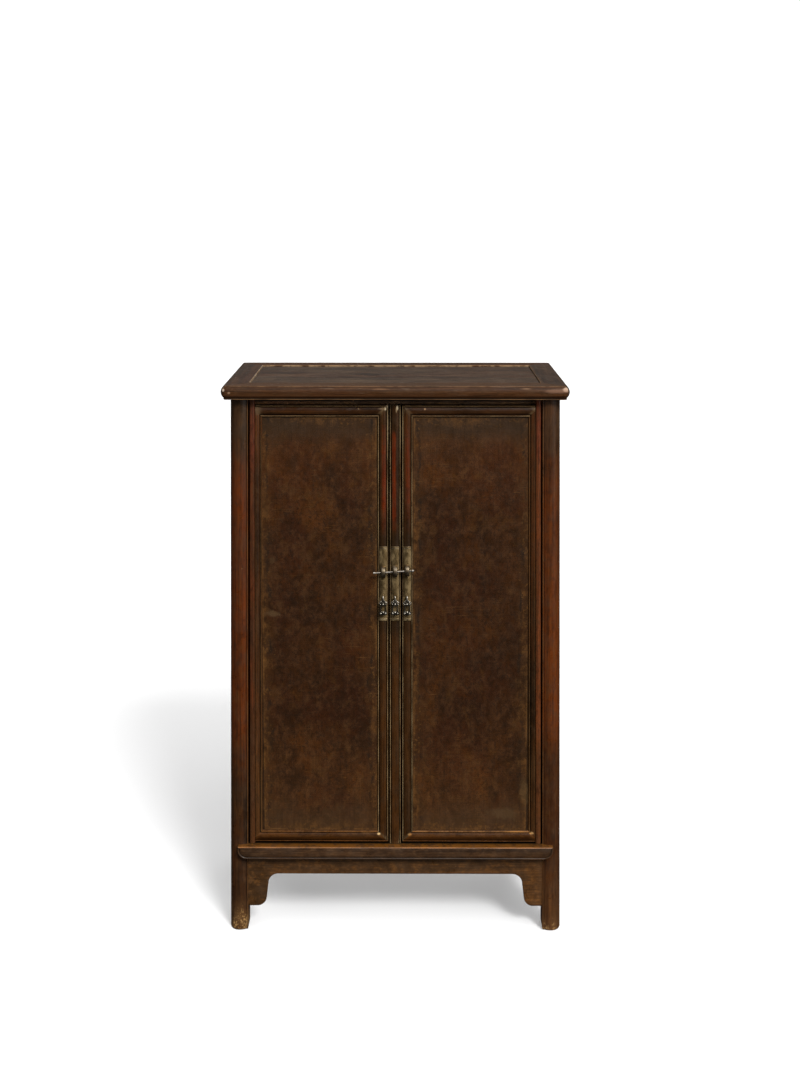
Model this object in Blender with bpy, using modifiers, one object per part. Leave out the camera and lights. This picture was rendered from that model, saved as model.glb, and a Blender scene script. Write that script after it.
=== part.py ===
"""Sloping-stile cabinet: a round-cornered wood-hinge cabinet on four splayed stiles.

Frame: +X right, front towards -Y, +Z up, origin on the floor under the middle of the cabinet. Metres.
Every upright piece is drawn plumb first and then splayed: a section at height z is scaled about the
cabinet's vertical middle line, so that stiles, doors and pivots all lean towards one point far above.
Outlines and mouldings are written in millimetres.
"""

import math

import bmesh
import bpy

# ---------------------------------------------------------------- driving dimensions (metres)
TOP_W, TOP_D, HEIGHT = 0.720, 0.400, 1.185
TOP_T = 0.029  # thickness of the top frame
TOP_MEMBER_W = 0.056  # width of a top frame member
TOP_PANEL_DROP = 0.003  # the floating panel lies this far under the frame
SPLAY = 0.039  # how much wider the section is at the floor than under the top
GAP = 0.0003  # joint clearance

LEG_IN_X, LEG_IN_Y = 0.3052, 0.136  # inner faces of the stiles
SILL_T, SILL_B = 0.1930, 0.1656  # lower rails, top and bottom
SILL_END = 0.3260  # the sill's tongue laps the stile up to here
SILL_FRONT = 0.1930
UPPER_RAIL_B = 1.118
DOOR_B, DOOR_T = 0.1960, 1.1416
DOOR_Y = 0.1705  # reference plane of the doors (moulding height 0)
RAIL_W = 25.0  # mm, width of door rails
MEET_W = 23.4  # mm, width of a meeting stile
MEET_X = 0.01396  # outer edge of a meeting stile
PANEL_OUT_X = 0.2760  # edge of a door panel at the hinge side
HINGE_X = 0.2965
ROD_R = 5.7  # mm, hinge rod
PIVOT_R, SOCKET_R = 4.3, 4.6  # mm
CENTRE_HALF = 12.0  # mm, half width of the centre stile
DOOR_BACK = 17.5  # mm behind the reference plane
APRON_B, SPANDREL_B = 0.1244, 0.0525
SHELF_Z = 0.660
PLATE_B, PLATE_T = 0.6831, 0.8405
EYE_Z, STAPLE_Z = 0.7910, 0.7302
PIN_RISE = 0.061  # the pin tilts by this slope
PIN_T = 12.3  # mm, height of the pin above the reference plane
RING_R, RING_WIRE, RING_T = 4.0, 1.1, 11.0  # mm

UNDER = HEIGHT - TOP_T  # underside of the top
MM = 0.001

# ---------------------------------------------------------------- scene
for old in list(bpy.data.objects):
    bpy.data.objects.remove(old, do_unlink=True)

PARTS = bpy.data.collections.new("sloping_stile_cabinet")
CUTTERS = bpy.data.collections.new("cutters")
bpy.context.scene.collection.children.link(PARTS)
bpy.context.scene.collection.children.link(CUTTERS)


def material(name, colour, roughness, metallic=0.0):
    mat = bpy.data.materials.new(name)
    mat.use_nodes = True
    shader = mat.node_tree.nodes["Principled BSDF"]
    shader.inputs["Base Color"].default_value = (*colour, 1.0)
    shader.inputs["Roughness"].default_value = roughness
    shader.inputs["Metallic"].default_value = metallic
    return mat


FRAME_WOOD = ("frame_wood", (0.062, 0.026, 0.011), 0.42)
TOP_WOOD = ("top_wood", (0.070, 0.042, 0.029), 0.48)
PANEL_WOOD = ("panel_lacquer", (0.045, 0.019, 0.008), 0.38)
INSIDE_WOOD = ("inside_wood", (0.150, 0.085, 0.042), 0.65)
BRASS = ("aged_brass", (0.180, 0.130, 0.065), 0.45, 1.0)


# ---------------------------------------------------------------- modelling helpers
def add(name, mesh, collection=PARTS):
    obj = bpy.data.objects.new(name, mesh)
    collection.objects.link(obj)
    return obj


def tidy(mesh, place=None):
    """Welds a mesh, moves its points by place() and turns its faces outwards."""
    bm = bmesh.new()
    bm.from_mesh(mesh)
    bmesh.ops.remove_doubles(bm, verts=bm.verts, dist=0.005 if place else 1e-7)
    if place:
        for v in bm.verts:
            v.co = place(*v.co)
    bmesh.ops.recalc_face_normals(bm, faces=bm.faces)
    if bm.calc_volume(signed=True) < 0:
        bmesh.ops.reverse_faces(bm, faces=bm.faces)
    bm.to_mesh(mesh)
    bm.free()
    return mesh


def evaluated_mesh(obj):
    graph = bpy.context.evaluated_depsgraph_get()
    return bpy.data.meshes.new_from_object(obj.evaluated_get(graph))


def outline_mesh(loops, thickness=2.0):
    """A flat outline (with holes) given thickness, as a filled 2D curve. Millimetres."""
    curve = bpy.data.curves.new("outline", "CURVE")
    curve.dimensions = "2D"
    curve.fill_mode = "BOTH"
    curve.extrude = thickness / 2
    for loop in loops:
        spline = curve.splines.new("POLY")
        spline.points.add(len(loop) - 1)
        for point, (a, b) in zip(spline.points, loop):
            point.co = (a, b, 0.0, 1.0)
        spline.use_cyclic_u = True
    guide = add("outline", curve, CUTTERS)
    mesh = evaluated_mesh(guide)
    bpy.data.objects.remove(guide)
    bpy.data.curves.remove(curve)
    return mesh


def bar(name, outline, low, high, place, collection=PARTS):
    """A moulded bar: the outline (a, b) run from low(a, b) to high(a, b), so that an end may be mitred.

    place(a, b, c) turns millimetres into the cabinet's frame; low and high are in metres.
    """

    def put(a, b, c):
        return place(a, b, low(a, b) if c < 0 else high(a, b))

    return add(name, tidy(outline_mesh([outline]), put), collection)


def sheet(name, loops, low, high, place, collection=PARTS):
    """An outline with holes, run between two plain ends."""
    put = lambda a, b, c: place(a, b, low if c < 0 else high)
    return add(name, tidy(outline_mesh(loops), put), collection)


def box(name, x, y, z, collection=PARTS):
    bm = bmesh.new()
    bmesh.ops.create_cube(bm, size=1.0)
    for v in bm.verts:
        v.co = [
            (lo + hi) / 2 + c * abs(hi - lo) for c, (lo, hi) in zip(v.co, (x, y, z))
        ]
    mesh = bpy.data.meshes.new(name)
    bm.to_mesh(mesh)
    bm.free()
    return add(name, mesh, collection)


def turned(name, profile, steps, place, collection=PARTS):
    """A turned piece: (radius, height) pairs in millimetres, top to bottom, with a Screw modifier."""
    mesh = bpy.data.meshes.new(name)
    points = [(r, 0.0, h) for r, h in profile]
    mesh.from_pydata(points, [(i, i + 1) for i in range(len(points) - 1)], [])
    guide = add(name + "_profile", mesh, CUTTERS)
    screw = guide.modifiers.new("turn", "SCREW")
    screw.steps = screw.render_steps = steps
    screw.use_merge_vertices = True
    screw.merge_threshold = 0.0001
    made = evaluated_mesh(guide)
    bpy.data.objects.remove(guide)
    return add(name, tidy(made, place), collection)


def combine(obj, others, operation):
    """Cuts others from obj, or joins them to it, with Boolean modifiers."""
    for other in others:
        other.hide_render = True
        other.display_type = "WIRE"
        mod = obj.modifiers.new(operation.lower(), "BOOLEAN")
        mod.operation = operation
        mod.solver = "EXACT"
        mod.object = other
    mesh = evaluated_mesh(obj)
    obj.modifiers.clear()
    obj.data = mesh
    for other in others:
        bpy.data.objects.remove(other)
    tidy(mesh)
    return obj


def join(obj, *others):
    return combine(obj, others, "UNION")


def cut(obj, *others):
    return combine(obj, others, "DIFFERENCE")


def hole(x, y, z, clear=GAP):
    """A box cutter, larger than the tenon it takes by the joint clearance."""
    grown = [(min(r) - clear, max(r) + clear) for r in (x, y, z)]
    return box("cutter", *grown, collection=CUTTERS)


def plug(x, y, z):
    return box("tenon", x, y, z, collection=CUTTERS)


def section(z):
    """The splay: how much larger the section is at height z than under the top."""
    return 1.0 + SPLAY * max(0.0, 1.0 - z / UNDER)


def splay(obj):
    for v in obj.data.vertices:
        k = section(v.co.z)
        v.co.x *= k
        v.co.y *= k


def on_x(side, lo, hi):
    return tuple(sorted((side * lo, side * hi)))


def arc(cx, cy, r, start, stop, steps):
    return [
        (
            cx + r * math.cos(math.radians(start + (stop - start) * i / steps)),
            cy + r * math.sin(math.radians(start + (stop - start) * i / steps)),
        )
        for i in range(steps + 1)
    ]


MADE = []


def finish(obj, finish_of, moving=None, upright=True, smooth=30):
    if upright:
        splay(obj)
    obj.data.materials.clear()
    obj.data.materials.append(material(obj.name, *finish_of[1:]))
    obj.data.shade_smooth()
    obj.data.set_sharp_from_angle(angle=math.radians(smooth))
    MADE.append((obj, moving))
    return obj


# ---------------------------------------------------------------- mouldings (millimetres)
def swell(w, middle, half, top=4.1, drop=1.9):
    """The broad convex part of a moulding."""
    return top - drop * ((w - middle) / half) ** 2


def swell_points(middle, half, count, top=4.1, drop=1.9):
    ws = [middle - half + 2 * half * i / (count - 1) for i in range(count)]
    return [(w, swell(w, middle, half, top, drop)) for w in ws]


def edge_bead(at, towards):
    """A small bead along an edge; towards is +1 if the moulding lies on its +w side."""
    pairs = [(0.0, 1.3), (0.4, 2.1), (1.2, 2.4), (2.0, 2.0), (2.5, 1.4)]
    return [(at + towards * w, t) for w, t in pairs]


def rail_face(width):
    """Door frame moulding from the outer edge (w = 0) to the panel edge (w = width)."""
    middle, half = (width - 2.0) / 2 + 0.1, (width - 2.0) / 2 - 2.6
    face = edge_bead(0.0, 1) + swell_points(middle, half, 7)
    inner = [(4.3, 0.9), (3.7, 1.7), (2.6, 2.1), (1.4, 1.8), (0.5, 1.0), (0.0, 0.2)]
    return face + [(width - w, t) for w, t in inner]


PANEL_FACE, PANEL_T = -2.2, 7.0  # panel face and thickness
GROOVE_DEEP = 7.5


def with_groove(face, width, back_from=0.0):
    """Adds the panel groove and the back to a door moulding."""
    low, high = PANEL_FACE - PANEL_T - 0.3, PANEL_FACE + 0.3
    return face + [
        (width, high),
        (width - GROOVE_DEEP, high),
        (width - GROOVE_DEEP, low),
        (width, low),
        (width, -DOOR_BACK),
        (back_from, -DOOR_BACK),
    ]


# ---------------------------------------------------------------- top: mitred frame, panel, batten
def top_outline():
    w, t = TOP_MEMBER_W / MM, TOP_T / MM
    nose = [
        (6.9, 0.0),
        (5.9, 0.4),
        (5.4, 1.3),
        (5.7, 2.3),
        (6.6, 3.0),
        (5.6, 4.0),
        (4.0, 5.6),
        (2.2, 8.0),
        (0.7, 11.6),
        (0.0, 15.4),
        (0.5, 19.4),
        (1.9, 23.2),
        (4.0, 26.2),
        (5.0, 26.9),
        (5.4, 28.0),
        (6.6, t),
    ]
    return nose + [
        (w, t),
        (w, 19.8),
        (w - GROOVE_DEEP, 19.8),
        (w - GROOVE_DEEP, 14.2),
        (w, 14.2),
        (w, 0.0),
    ]


def top_member(name, half_length, place):
    end = lambda a, b: half_length - a * MM - 0.0002
    return bar(name, top_outline(), lambda a, b: -end(a, b), end, place)


def batten_end(sy):
    return (sy * 0.140, sy * 0.153)


top_rails = {}
for sy, name in ((-1, "top_front_rail"), (1, "top_back_rail")):
    place = lambda a, b, c, sy=sy: (c, sy * (TOP_D / 2 - a * MM), UNDER + b * MM)
    top_rails[sy] = rail = top_member(name, TOP_W / 2, place)
    cutters = [hole((-0.009, 0.009), batten_end(sy), (UNDER + 0.003, UNDER + 0.009))]
    for sx in (-1, 1):
        # mortises for the short member's tenon and for the stile's tenon
        cutters.append(
            hole(
                on_x(sx, 0.326, 0.342),
                (sy * 0.150, sy * 0.190),
                (UNDER + 0.008, UNDER + 0.0125),
            )
        )
        cutters.append(
            hole(
                on_x(sx, 0.3065, 0.3185),
                (sy * 0.164, sy * 0.176),
                (UNDER - 0.004, UNDER + 0.012),
            )
        )
        if sy < 0:
            cutters.append(
                turned(
                    "socket",
                    [(0, 11.0), (SOCKET_R, 11.0), (SOCKET_R, -3.0), (0, -3.0)],
                    20,
                    lambda a, b, c, sx=sx: (
                        sx * HINGE_X + a * MM,
                        -DOOR_Y + b * MM,
                        UNDER + c * MM,
                    ),
                    CUTTERS,
                )
            )
    finish(cut(rail, *cutters), TOP_WOOD, upright=False)

for sx, name in ((-1, "top_left_rail"), (1, "top_right_rail")):
    place = lambda a, b, c, sx=sx: (sx * (TOP_W / 2 - a * MM), c, UNDER + b * MM)
    rail = top_member(name, TOP_D / 2, place)
    tenons = [
        plug(
            on_x(sx, 0.326, 0.342),
            (sy * 0.150, sy * 0.190),
            (UNDER + 0.008, UNDER + 0.0125),
        )
        for sy in (-1, 1)
    ]
    finish(join(rail, *tenons), TOP_WOOD, upright=False)

HALF_X, HALF_Y = TOP_W / 2 - TOP_MEMBER_W, TOP_D / 2 - TOP_MEMBER_W
top_panel = box(
    "top_panel",
    (GAP - HALF_X, HALF_X - GAP),
    (GAP - HALF_Y, HALF_Y - GAP),
    (UNDER + 0.012, HEIGHT - TOP_PANEL_DROP),
)
tongue = plug(
    (-HALF_X - 0.0065, HALF_X + 0.0065),
    (-HALF_Y - 0.0065, HALF_Y + 0.0065),
    (UNDER + 0.0145, UNDER + 0.0195),
)
finish(join(top_panel, tongue), TOP_WOOD, upright=False)

top_batten = box(
    "top_batten",
    (-0.0125, 0.0125),
    (GAP - HALF_Y, HALF_Y - GAP),
    (UNDER + 0.001, UNDER + 0.0117),
)
tenons = [
    plug((-0.009, 0.009), batten_end(sy), (UNDER + 0.003, UNDER + 0.009))
    for sy in (-1, 1)
]
finish(join(top_batten, *tenons), INSIDE_WOOD, upright=False)

# ---------------------------------------------------------------- stiles (legs)
LEG_OUTLINE = [
    (0.0, 0.0),
    (0.0, 38.8),
    (0.3, 40.0),
    (1.1, 40.6),
    (2.1, 40.2),
    (2.7, 39.4),
    (5.0, 40.9),
    (10.0, 43.0),
    (15.5, 44.0),
    (21.0, 43.8),
    (26.0, 42.2),
    (30.5, 39.0),
    (34.0, 34.4),
    (36.4, 28.6),
    (37.6, 22.0),
    (37.3, 15.6),
    (36.2, 10.0),
    (34.6, 4.6),
    (33.4, 2.9),
    (34.1, 2.1),
    (34.2, 1.0),
    (33.4, 0.0),
]
SIDE_PANEL_X = (0.3222, 0.3298)
SIDE_PANEL = ((-0.143, 0.143), (0.1865, 1.1245))
SIDE_RAIL_X = (0.3155, 0.3375)
SIDE_TENON_X = (0.3245, 0.3325)
BACK_PANEL_Y = (0.156, 0.164)
LOW_TENON_Z, HIGH_TENON_Z = (0.1690, 0.1840), (1.130, 1.150)
BEARER_X, BEARER_Z = (0.2920, 0.3216), (0.640, 0.660)
BEARER_TENON = ((0.309, 0.317), (0.644, 0.656))
APRON_TONGUE = 0.0045
FRONT_APRON_Y, BACK_APRON_Y, SIDE_APRON_X = (0.165, 0.174), (0.160, 0.169), (0.3245, 0.3335)


def shoulder_outline(grow=0.0):
    """Front view of the sill's lapping end, right-hand side: a tongue with a rounded lower corner."""
    end, top, low, r = SILL_END / MM, SILL_T / MM, SILL_B / MM, 19.5
    return [(290.0, low - grow), (290.0, top + grow), (end + grow, top + grow)] + arc(
        end - r, low + r, r + grow, 0, -90, 8
    )


for sy, front in ((-1, True), (1, False)):
    for sx, side in ((-1, "left"), (1, "right")):
        leg = bar(
            f"leg_{'front' if front else 'back'}_{side}",
            LEG_OUTLINE,
            lambda a, b: 0.0,
            lambda a, b: UNDER - GAP,
            lambda a, b, c, sx=sx, sy=sy: (
                sx * (LEG_IN_X + a * MM),
                sy * (LEG_IN_Y + b * MM),
                c,
            ),
        )
        tenon = plug(
            on_x(sx, 0.3065, 0.3185),
            (sy * 0.164, sy * 0.176),
            (UNDER - 0.006, UNDER + 0.0115),
        )
        join(leg, tenon)
        rear = (sy * (LEG_IN_Y - 0.004), sy * 0.155)
        cross = (0.1395, 0.1475) if front else (0.156, 0.164)
        sill = (0.150, 0.160) if front else (0.150, 0.160)
        apron = FRONT_APRON_Y if front else BACK_APRON_Y
        cutters = [
            hole(on_x(sx, 0.300, 0.322), (sy * cross[0], sy * cross[1]), HIGH_TENON_Z),
            hole(on_x(sx, 0.300, 0.322), (sy * sill[0], sy * sill[1]), LOW_TENON_Z),
            hole(on_x(sx, *SIDE_TENON_X), rear, HIGH_TENON_Z),
            hole(on_x(sx, *SIDE_TENON_X), rear, LOW_TENON_Z),
            hole(
                on_x(sx, *SIDE_PANEL_X), (sy * 0.130, sy * 0.1437), (0.1865, 1.1245)
            ),
            hole(on_x(sx, BEARER_TENON[0][0], BEARER_TENON[0][1]), (sy * 0.130, sy * 0.146), BEARER_TENON[1]),
            hole(
                on_x(sx, 0.300, LEG_IN_X + APRON_TONGUE),
                (sy * apron[0], sy * apron[1]),
                (SPANDREL_B, SILL_B),
            ),
            hole(
                on_x(sx, *SIDE_APRON_X),
                (sy * 0.130, sy * (LEG_IN_Y + APRON_TONGUE)),
                (SPANDREL_B, SILL_B),
            ),
        ]
        if front:
            cutters.append(
                sheet(
                    "cutter",
                    [shoulder_outline(0.3)],
                    -0.21,
                    -0.1757,
                    lambda a, b, c, sx=sx: (sx * a * MM, c, b * MM),
                    CUTTERS,
                )
            )
        else:
            cutters.append(
                hole(
                    on_x(sx, 0.300, LEG_IN_X + 0.0065),
                    (sy * BACK_PANEL_Y[0], sy * BACK_PANEL_Y[1]),
                    (0.1865, 1.1245),
                )
            )
        finish(cut(leg, *cutters), FRAME_WOOD)

# ---------------------------------------------------------------- upper and lower rails
upper_front = box(
    "upper_rail_front",
    (GAP - LEG_IN_X, LEG_IN_X - GAP),
    (-0.1515, -0.1315),
    (UPPER_RAIL_B, UNDER - GAP),
)
join(upper_front, plug((-0.3215, 0.3215), (-0.1475, -0.1395), HIGH_TENON_Z))
STILE_TENON = ((-0.006, 0.006), (-0.158, -0.1440), (1.124, 1.136))
finish(cut(upper_front, hole(*STILE_TENON)), FRAME_WOOD)

back_grooves = lambda: [
    hole(on_x(sx, 0.009, LEG_IN_X + 0.0065), BACK_PANEL_Y, (0.1865, 1.1245))
    for sx in (-1, 1)
]
BACK_STILE_TENON = ((-0.008, 0.008), (0.155, 0.165), (0.178, 1.132))
upper_back = box(
    "upper_rail_back",
    (GAP - LEG_IN_X, LEG_IN_X - GAP),
    (0.150, 0.170),
    (UPPER_RAIL_B, UNDER - GAP),
)
join(upper_back, plug((-0.3215, 0.3215), (0.156, 0.164), HIGH_TENON_Z))
finish(cut(upper_back, *back_grooves(), hole(*BACK_STILE_TENON)), FRAME_WOOD)

FLOOR_TONGUE_Z = (0.1765, 0.1830)
lower_back = box(
    "lower_rail_back",
    (GAP - LEG_IN_X, LEG_IN_X - GAP),
    (0.1363, 0.172),
    (SILL_B, SILL_T),
)
join(lower_back, plug((-0.3215, 0.3215), (0.150, 0.160), LOW_TENON_Z))
finish(
    cut(
        lower_back,
        *back_grooves(),
        hole(*BACK_STILE_TENON),
        hole((-0.3045, 0.3045), (0.130, 0.1427), FLOOR_TONGUE_Z),
    ),
    FRAME_WOOD,
)

for sx, side in ((-1, "left"), (1, "right")):
    for level, z, tenon_z in (
        ("upper", (UPPER_RAIL_B, UNDER - GAP), HIGH_TENON_Z),
        ("lower", (SILL_B, SILL_T), LOW_TENON_Z),
    ):
        rail = box(
            f"{level}_rail_{side}",
            on_x(sx, *SIDE_RAIL_X),
            (GAP - LEG_IN_Y, LEG_IN_Y - GAP),
            z,
        )
        join(rail, plug(on_x(sx, *SIDE_TENON_X), (-0.1545, 0.1545), tenon_z))
        cutters = [hole(on_x(sx, *SIDE_PANEL_X), *SIDE_PANEL)]
        if level == "lower":
            cutters.append(
                hole(on_x(sx, 0.310, 0.3222), (-0.1357, 0.1357), FLOOR_TONGUE_Z)
            )
        finish(cut(rail, *cutters), FRAME_WOOD)

# the sill: a moulded front rail whose ends lap over the stiles
f = SILL_FRONT / MM
SILL_OUTLINE = [
    (LEG_IN_Y / MM, SILL_B / MM),
    (f - 2.6, SILL_B / MM),
    (f - 1.2, SILL_B / MM + 0.5),
    (f - 0.6, SILL_B / MM + 1.8),
    (f - 1.2, SILL_B / MM + 3.2),
    (f - 2.0, SILL_B / MM + 3.8),
    (f - 0.9, SILL_B / MM + 5.0),
    (f - 0.2, SILL_B / MM + 9.0),
    (f, SILL_B / MM + 15.0),
    (f - 0.3, SILL_B / MM + 21.0),
    (f - 1.0, SILL_T / MM - 1.6),
    (f - 2.2, SILL_T / MM - 0.4),
    (f - 3.6, SILL_T / MM),
    (LEG_IN_Y / MM, SILL_T / MM),
]
sill = bar(
    "sill_front",
    SILL_OUTLINE,
    lambda a, b: -SILL_END,
    lambda a, b: SILL_END,
    lambda a, b, c: (c, -a * MM, b * MM),
)
cutters = [hole((-0.3045, 0.3045), (-0.1427, -0.130), FLOOR_TONGUE_Z)]
cutters.append(hole((-0.007, 0.007), (-0.1665, -0.1585), (0.181, 0.200)))
for sx in (-1, 1):
    cutters.append(
        box("cutter", on_x(sx, LEG_IN_X - GAP, 0.340), (-0.176, -0.120), (0.150, 0.210), CUTTERS)
    )
    r, end, low = 19.5, SILL_END / MM, SILL_B / MM
    corner = arc(end - r, low + r, r, 0, -90, 8) + [(end - r, low - 4), (end + 4, low - 4), (end + 4, low + r)]
    cutters.append(
        sheet(
            "cutter",
            [corner],
            -0.21,
            -0.17,
            lambda a, b, c, sx=sx: (sx * a * MM, c, b * MM),
            CUTTERS,
        )
    )
    cutters.append(
        turned(
            "socket",
            [(0, 8.0), (SOCKET_R, 8.0), (SOCKET_R, -12.5), (0, -12.5)],
            20,
            lambda a, b, c, sx=sx: (
                sx * HINGE_X + a * MM,
                -DOOR_Y + b * MM,
                SILL_T + c * MM,
            ),
            CUTTERS,
        )
    )
cut(sill, *cutters)
join(
    sill,
    *[
        plug(on_x(sx, 0.300, 0.3215), (-0.160, -0.150), LOW_TENON_Z)
        for sx in (-1, 1)
    ],
)
finish(sill, FRAME_WOOD)


# ---------------------------------------------------------------- aprons with spandrels
def apron_outline(half, inner):
    """Front view of an apron: a rail with a spandrel at each end. Millimetres."""
    top, low, foot = SILL_B / MM - 0.3, APRON_B / MM, SPANDREL_B / MM
    big, small = 21.0, 19.0
    right = arc(inner - big - 1.0, low - big, big, 90, 6, 6)
    toe_x = inner + 2.6 + small
    right += arc(toe_x, foot + small, small, 186, 270, 7)
    right += [(half, foot), (half, top)]
    return right + [(-a, b) for a, b in reversed(right)]


full = (LEG_IN_X + APRON_TONGUE) / MM
side_full = (LEG_IN_Y + APRON_TONGUE) / MM
finish(
    sheet(
        "apron_front",
        [apron_outline(full, 264.5)],
        -FRONT_APRON_Y[1],
        -FRONT_APRON_Y[0],
        lambda a, b, c: (a * MM, c, b * MM),
    ),
    FRAME_WOOD,
)
finish(
    sheet(
        "apron_back",
        [apron_outline(full, 264.5)],
        *BACK_APRON_Y,
        lambda a, b, c: (a * MM, c, b * MM),
    ),
    FRAME_WOOD,
)
for sx, side in ((-1, "left"), (1, "right")):
    finish(
        sheet(
            f"apron_{side}",
            [apron_outline(side_full, 98.0)],
            *SIDE_APRON_X,
            lambda a, b, c, sx=sx: (sx * c, a * MM, b * MM),
        ),
        FRAME_WOOD,
    )

# ---------------------------------------------------------------- carcase panels, floor, shelf
for sx, side in ((-1, "left"), (1, "right")):
    finish(box(f"side_panel_{side}", on_x(sx, *SIDE_PANEL_X), *SIDE_PANEL), PANEL_WOOD)
    bearer = box(
        f"shelf_bearer_{side}",
        on_x(sx, *BEARER_X),
        (GAP - LEG_IN_Y, LEG_IN_Y - GAP),
        BEARER_Z,
    )
    join(bearer, plug(on_x(sx, *BEARER_TENON[0]), (-0.1455, 0.1455), BEARER_TENON[1]))
    finish(bearer, INSIDE_WOOD)
    finish(
        box(
            f"back_panel_{side}",
            on_x(sx, 0.009, LEG_IN_X + 0.0065),
            BACK_PANEL_Y,
            (0.1865, 1.1245),
        ),
        PANEL_WOOD,
    )

back_stile = box(
    "back_centre_stile",
    (-0.016, 0.016),
    (0.150, 0.170),
    (SILL_T + GAP, UPPER_RAIL_B - GAP),
)
join(back_stile, plug(*BACK_STILE_TENON))
finish(cut(back_stile, *back_grooves()), FRAME_WOOD)

floor_board = box(
    "floor_board", (-0.3152, 0.3152), (-0.1357, 0.1357), (FLOOR_TONGUE_Z[0], 0.1905)
)
join(
    floor_board,
    plug((-0.3220, 0.3220), (-0.1350, 0.1350), FLOOR_TONGUE_Z),
    plug((-0.3042, 0.3042), (-0.1425, 0.1425), FLOOR_TONGUE_Z),
)
finish(floor_board, INSIDE_WOOD)
finish(
    box("shelf", (-0.3045, 0.3045), (-0.140, 0.1495), (SHELF_Z + GAP, SHELF_Z + 0.014)),
    INSIDE_WOOD,
)

# ---------------------------------------------------------------- centre stile
half_face = edge_bead(-CENTRE_HALF, 1) + swell_points(0.0, 9.0, 9)
CENTRE_OUTLINE = half_face + [(-w, t) for w, t in reversed(edge_bead(-CENTRE_HALF, 1))]
CENTRE_OUTLINE += [(CENTRE_HALF, -DOOR_BACK), (-CENTRE_HALF, -DOOR_BACK)]


def upright(middle_x=0.0, side=1):
    return lambda a, b, c: (side * (middle_x + a * MM), -DOOR_Y - b * MM, c)


SHANKS = ((1.5, 3.0, EYE_Z), (1.0, 1.6, STAPLE_Z))  # half width, half height, level


def shank(x, kind, make, deep, out):
    """The square shank of an eye or a staple, or the hole that takes it."""
    half_w, half_h, z = SHANKS[kind]
    z += PIN_RISE * x if kind == 0 else 0.0
    return make(
        (x - half_w * MM, x + half_w * MM),
        (-DOOR_Y + deep * MM, -DOOR_Y - out * MM),
        (z - half_h * MM, z + half_h * MM),
    )


def shank_holes(x):
    return [shank(x, kind, hole, 6.0, 9.0) for kind in (0, 1)]


centre = bar(
    "centre_stile",
    CENTRE_OUTLINE,
    lambda a, b: SILL_T + GAP,
    lambda a, b: DOOR_T,
    upright(),
)
join(
    centre,
    plug((-0.0065, 0.0065), (-0.1662, -0.1588), (0.1815, 0.205)),
    plug((-0.0057, 0.0057), (-0.157, -0.1443), (1.1243, 1.1357)),
)
finish(cut(centre, *shank_holes(0.0)), FRAME_WOOD)

# ---------------------------------------------------------------- doors
RAIL_OUTLINE = with_groove(rail_face(RAIL_W), RAIL_W)
MEET_OUTLINE = with_groove(rail_face(MEET_W), MEET_W)
U_IN = (HINGE_X - PANEL_OUT_X) / MM  # panel edge, measured from the hinge axis
U_OUT = 6.3  # where the stile's moulding starts beside the rod
W_OUT = RAIL_W - (U_IN - U_OUT)  # the same place on the rail's moulding
HINGE_FACE = [(U_OUT, -1.0), (U_OUT, swell(W_OUT, RAIL_W / 2 - 0.9, RAIL_W / 2 - 3.6) - 0.5)]
HINGE_FACE += [(w - RAIL_W + U_IN, t) for w, t in rail_face(RAIL_W) if w > W_OUT + 0.4]
HINGE_OUTLINE = with_groove(HINGE_FACE, U_IN, -4.4)
HINGE_OUTLINE += [(-4.4, -2.6), (0.0, -3.0)]
MITRE_GAP = 0.0002
MEET_IN_X = MEET_X + MEET_W * MM  # panel edge at the meeting side
DOOR_BATTENS = (0.452, 0.888)
RAIL_TENON = (0.0121, 0.0212)  # a rail tenon, measured from the rail's outer edge
BATTEN_T = (PANEL_FACE - PANEL_T - 0.3, -DOOR_BACK)
MEET_MID = MEET_X + (rail_face(MEET_W)[8][0]) * MM  # crest of the meeting stile's moulding


def hinge_slope(w):
    """How far along the door a rail's end lies from the hinge axis, in metres."""
    return (U_OUT + max(0.0, w - W_OUT)) * MM


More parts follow.
